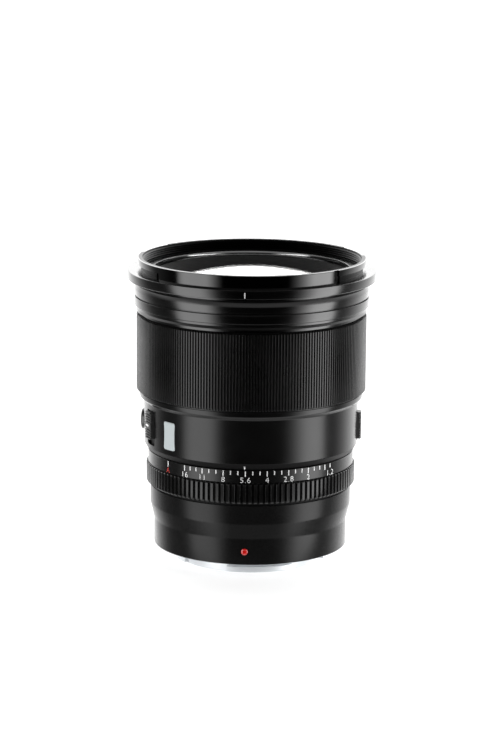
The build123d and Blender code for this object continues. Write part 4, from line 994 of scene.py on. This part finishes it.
# Name ring: a flat ring inside the rim, blackened and finely turned, with its face left bare.
# Its inside is turned bright through the black.
name_ring_z = 102.3
name_ring_top_z = 103.9
name_ring_bore = 34.2
name_ring_outer = 37.95
name_ring_lean = 0.21       # its inside opens to the front
name_wall_radius = 34.44
name_black, place = new_finish("name_black")
lines = turning_lines(place, 0.16)
cloud = noise(place, 3, 2)
wall = place.maths("LESS_THAN", radius_of(place), name_wall_radius * mm)
face_black = blend(lines * 0.5 + cloud * 0.5, grey(0.004), grey(0.01))
surface(place, Base_Color=blend(wall, face_black, grey(0.24)), Metallic=wall,
        Roughness=0.26 - wall * 0.16 + (cloud - 0.5) * 0.04, Normal=bumped(lines, 0.0006))
name_ring = turned([(name_ring_bore, name_ring_z), (name_ring_outer, name_ring_z),
                    (name_ring_outer, name_ring_top_z, 0.05),
                    (name_ring_bore + name_ring_lean, name_ring_top_z, 0.04)], 0.03)
piece(name_ring, "name_ring_bare", name_black, "barrel", "matte_black", "name_ring")

# Front collar: neck, wide flange and rim, turned from one piece and polished under the black.
# The rim has the filter thread inside, and outside it the lips and ways in of the hood's bayonet.
neck_bore = 35.7
neck_radius = 39.9
flange_foot_z = 100.2
flange_radius = 43.7
flange_edge = 0.25
flange_top_z = 103.4
rim_foot_radius = 40.2
rim_radius = 40.4
rim_top_z = 107.7
rim_edge = 0.28
thread_radius = 38.5
thread_pitch = 0.75
thread_depth = 0.35
thread_count = 4
thread_foot_z = 104.15
hood_groove_radius = 38.95
hood_groove_top_z = 105.6
hood_first = 49.6
hood_open = 100.0
hood_last = 128.0
hood_bump_azimuth = 53.4
hood_bump_width = 0.9
hood_bump_corner = 0.1
hood_bump_radius = 39.45
hood_stop_first = 47.4
hood_stop_last = 50.7
hood_stop_radius = 39.9
hood_shade_and_dull_radius = 39.8
polish_foot_z = 103.42
threads = []
for i in range(thread_count):
    height = thread_foot_z + (thread_count - i) * thread_pitch
    threads += [(thread_radius, height, 0), (thread_radius - thread_depth, height - thread_pitch / 2, 0)]
collar = turned([
    (neck_bore, collar_z), (neck_radius, collar_z, 0.05), (neck_radius, flange_foot_z, 0),
    (flange_radius, flange_foot_z, flange_edge), (flange_radius, flange_top_z, flange_edge),
    (rim_foot_radius, flange_top_z, 0.05), (rim_radius, rim_top_z, rim_edge),
    (thread_radius, rim_top_z, rim_edge), *threads, (thread_radius, thread_foot_z, 0),
    (thread_radius, name_ring_top_z, 0), (name_ring_outer + fit, name_ring_top_z),
    (name_ring_outer + fit, name_ring_z), (neck_bore, name_ring_z)])
openings = [(hood_groove_radius, top, side * first, side * hood_last)
            for top, first in ((hood_groove_top_z, hood_first), (rim_top_z + past, hood_open))
            for side in (1, -1)]
openings.append((hood_stop_radius, rim_top_z + past, hood_stop_first, hood_stop_last))
for floor, top, *azimuths in openings:
    opening = half_section([(floor, flange_top_z), (flange_radius + past, flange_top_z),
                            (flange_radius + past, top), (floor, top)], 0)
    collar = cut(collar, spun(opening, 60, *sorted(azimuths)))
for side in (1, -1):
    bump = rounded_plate(hood_bump_width, hood_groove_top_z - flange_top_z + 2 * fit, hood_bump_corner,
                         hood_groove_radius - past / 2, hood_bump_radius)
    for vert in bump.verts:
        vert.co.z -= hood_groove_radius
    collar = joined(collar, wrapped(bump, side * hood_bump_azimuth, (hood_groove_top_z + flange_top_z) / 2,
                                    hood_groove_radius))
# Inside the hood grooves and the rim the black is rougher and painted darker, as shade under the lips.
collar_black = anodised("collar_black", 0.0004, 0.2, 0.12, 0.0005, shade_and_dull=(hood_shade_and_dull_radius, polish_foot_z),
                        bright=polish_foot_z)
piece(collar, "front_collar_turned", collar_black, "barrel", "gloss_black", "front_collar")

# Flange line: engraved in the collar's flange and filled with white paint.
# It shows the top of the lens, for lining up the hood.
flange_mark_top_z = 102.6
flange_mark_length = 1.95
piece(tick(0, flange_mark_top_z, flange_mark_length, flange_radius, index_width), "flange_index_line",
      mark_paint, "barrel", "badge_white")

# Inner pieces that keep their machined solids: only their finishes are set here.
# Cells and barrels are flat black, boards green, rods and screws steel, blades dull black.
blade_black = turned_metal("blade_black", grey(0.02), grey(0.035), 0.5)
spring_steel = turned_metal("spring_steel", grey(0.3), grey(0.42), 0.35)
pinion_brass = turned_metal("pinion_brass", (0.52, 0.36, 0.14, 1), (0.68, 0.50, 0.22, 1), 0.3)
motor_case = turned_metal("motor_case", grey(0.42), grey(0.55), 0.32)
carriage_plastic = matt_black("carriage_plastic", 0.02, 0.5)
board_green, place = new_finish("board_green")
solder = noise(place, 0.7, 2)
surface(place, Base_Color=blend(solder, (0.01, 0.07, 0.03, 1), (0.03, 0.16, 0.07, 1)),
        Roughness=0.35 + solder * 0.1, Normal=bumped(solder, 0.02))
finishes = dict(matte_black=matte_black, steel=steel, board_green=board_green, blade_black=blade_black,
                spring_steel=spring_steel, pinion_brass=pinion_brass, motor_case=motor_case,
                carriage_plastic=carriage_plastic, switch_black=switch_black)
slots_of_nodes = {part["node"]: part["material_slot"] for part in frame["record"]["subparts"]}
for name, node in frame["nodes"].items():
    if not node.hide_render:
        node.data.materials.clear()
        node.data.materials.append(finishes[slots_of_nodes[name]])
        for face in node.data.polygons:
            face.material_index = 0

# Studio: a white table and backdrop lit from behind, a dim ceiling, and a lit card on each side in front.
# The table lights nothing and isn't reflected, so the cards reach down past it, as their images in it would.
table_size = 60
contact_shadow_glow = 0.58
contact_shadow_radii = (0.045, 0.1)
back_azimuth = 176.0
back_radiance = 2.1
back_range = (0.2, 0.88)
side_radiance = 0.15
side_range = (-0.3, 0.2)
rear_range = (-1.0, 0.3)
ceiling_front = 0.68
ceiling_back = 0.75
ceiling_rise = (0.1, 0.3)
ceiling_fall = (0.4, 0.75)
table_front = 1.3
table_back = 0.2
table_range = (0.5, 0.85)
card_foot_z = (-0.05, -0.17)
card_top_z = (0.112, 0.2)
scene = bpy.context.scene
scene.view_settings.view_transform = "Standard"


def ramped(value, low, high):
    """Rises smoothly from 0 to 1 between two values."""
    return value.node("MapRange", {"interpolation_type": "SMOOTHSTEP", "clamp": True},
                      {"Value": value, "From Min": low, "From Max": high})


def staged(bm, name, finish, *unseen_by):
    """Something in the studio that isn't part of the lens, and that some kinds of ray don't meet."""
    made = placed(bm, name, finish)
    for ray in unseen_by:
        setattr(made, f"visible_{ray}", False)


table_white, place = new_finish("table_white")
lit = place.node("BsdfDiffuse", inputs={"Color": grey(0.55)})
# Painted contact shadow: the table's glow is dimmer near the lens.
away = ramped(radius_of(place), *contact_shadow_radii)
glow = place.node("Emission", inputs={"Color": blend(away, grey(contact_shadow_glow), grey(1.0)), "Strength": 1.0})
place.node("OutputMaterial", inputs={"Surface": place.node("AddShader", inputs={0: lit, 1: glow})})
table = bmesh.new()
bmesh.ops.create_grid(table, x_segments=1, y_segments=1, size=table_size)
staged(table, "table_top", table_white, "glossy", "diffuse", "shadow")

world = bpy.data.worlds.new("studio")
scene.world = world
world.use_nodes = True
world.node_tree.nodes.clear()
air = Socket(world.node_tree)
direction = air.node("TexCoord", result="Generated")
upward = height_of(direction)
behind = direction.node("VectorMath", {"operation": "DOT_PRODUCT"}, {0: direction, 1: polar(1, back_azimuth)},
                        result="Value")
backlight = ramped(behind, *back_range) * back_radiance + ramped(behind, *side_range) * side_radiance
rearward = ramped(behind, *rear_range)
ceiling_band = ramped(upward, *ceiling_rise) * (1 - ramped(upward, *ceiling_fall))
ceiling = ceiling_band * (rearward * ceiling_back + ceiling_front)
table_light = ramped(0 - upward, *table_range) * (rearward * table_back + table_front)
seen = air.node("LightPath", result="Is Camera Ray")
backdrop = air.node("Background", inputs={"Color": grey(1.0), "Strength": 1.0})
room = air.node("Background", inputs={"Color": grey(1.0), "Strength": backlight + ceiling + table_light})
air.node("OutputWorld", inputs={"Surface": air.node("MixShader", inputs={0: seen, 1: room, 2: backdrop})})


def lit_card(name, inner, outer, rise, fall, radiance):
    """A lit card on edge from one place beside the lens to another. Along X it fades in and out."""
    corners = [(*inner, card_foot_z[0]), (*outer, card_foot_z[1]), (*outer, card_top_z[1]),
               (*inner, card_top_z[0])]
    card = bmesh.new()
    card.faces.new([card.verts.new(corner) for corner in corners])
    finish, place = new_finish(name)
    across = place.maths("ABSOLUTE", place.node("SeparateXYZ", inputs={0: place}, result=0))
    solid = ramped(across, *rise) * (1 - ramped(across, *fall))
    glow = place.node("Emission", inputs={"Color": grey(1.0), "Strength": radiance})
    faded = place.node("MixShader", inputs={0: solid, 1: place.node("BsdfTransparent"), 2: glow})
    place.node("OutputMaterial", inputs={"Surface": faded})
    staged(card, name, finish, "camera", "shadow")


lit_card("left_card", (-0.035, -0.0992), (-0.430, -0.1197), (0.035, 0.076), (0.17, 0.43), 4.8)
lit_card("right_card", (0.046, -0.0871), (0.640, -0.003), (0.052, 0.132), (0.3, 0.64), 7.1)

# Camera: a long lens a metre away, a little above the rim, as the photograph was taken.
# Its roll and its shift bring the outline to where it is in the picture.
camera_azimuth = 3.1
camera_elevation = 11.969
camera_distance = 993.93
camera_roll = 0.47
target_z = 65.15
picture_height = 750
shift_pixels = -1.15
camera_data = bpy.data.cameras.new("camera")
camera_data.lens = 134.69
camera_data.sensor_width = 36.0
camera_data.shift_x = shift_pixels / picture_height
camera_data.clip_start = 0.05
camera_data.clip_end = 200
camera = bpy.data.objects.new("camera", camera_data)
level = camera_distance * cos(radians(camera_elevation))
target = Vector((0, 0, target_z))
stand = target + polar(level, camera_azimuth, camera_distance * sin(radians(camera_elevation)))
camera.location = stand * mm
turn = (target - stand).to_track_quat("-Z", "Y").to_matrix().to_4x4()
camera.rotation_euler = (turn @ Matrix.Rotation(radians(camera_roll), 4, "Z")).to_euler()
scene.collection.objects.link(camera)
scene.camera = camera

bpy.context.view_layer.update()
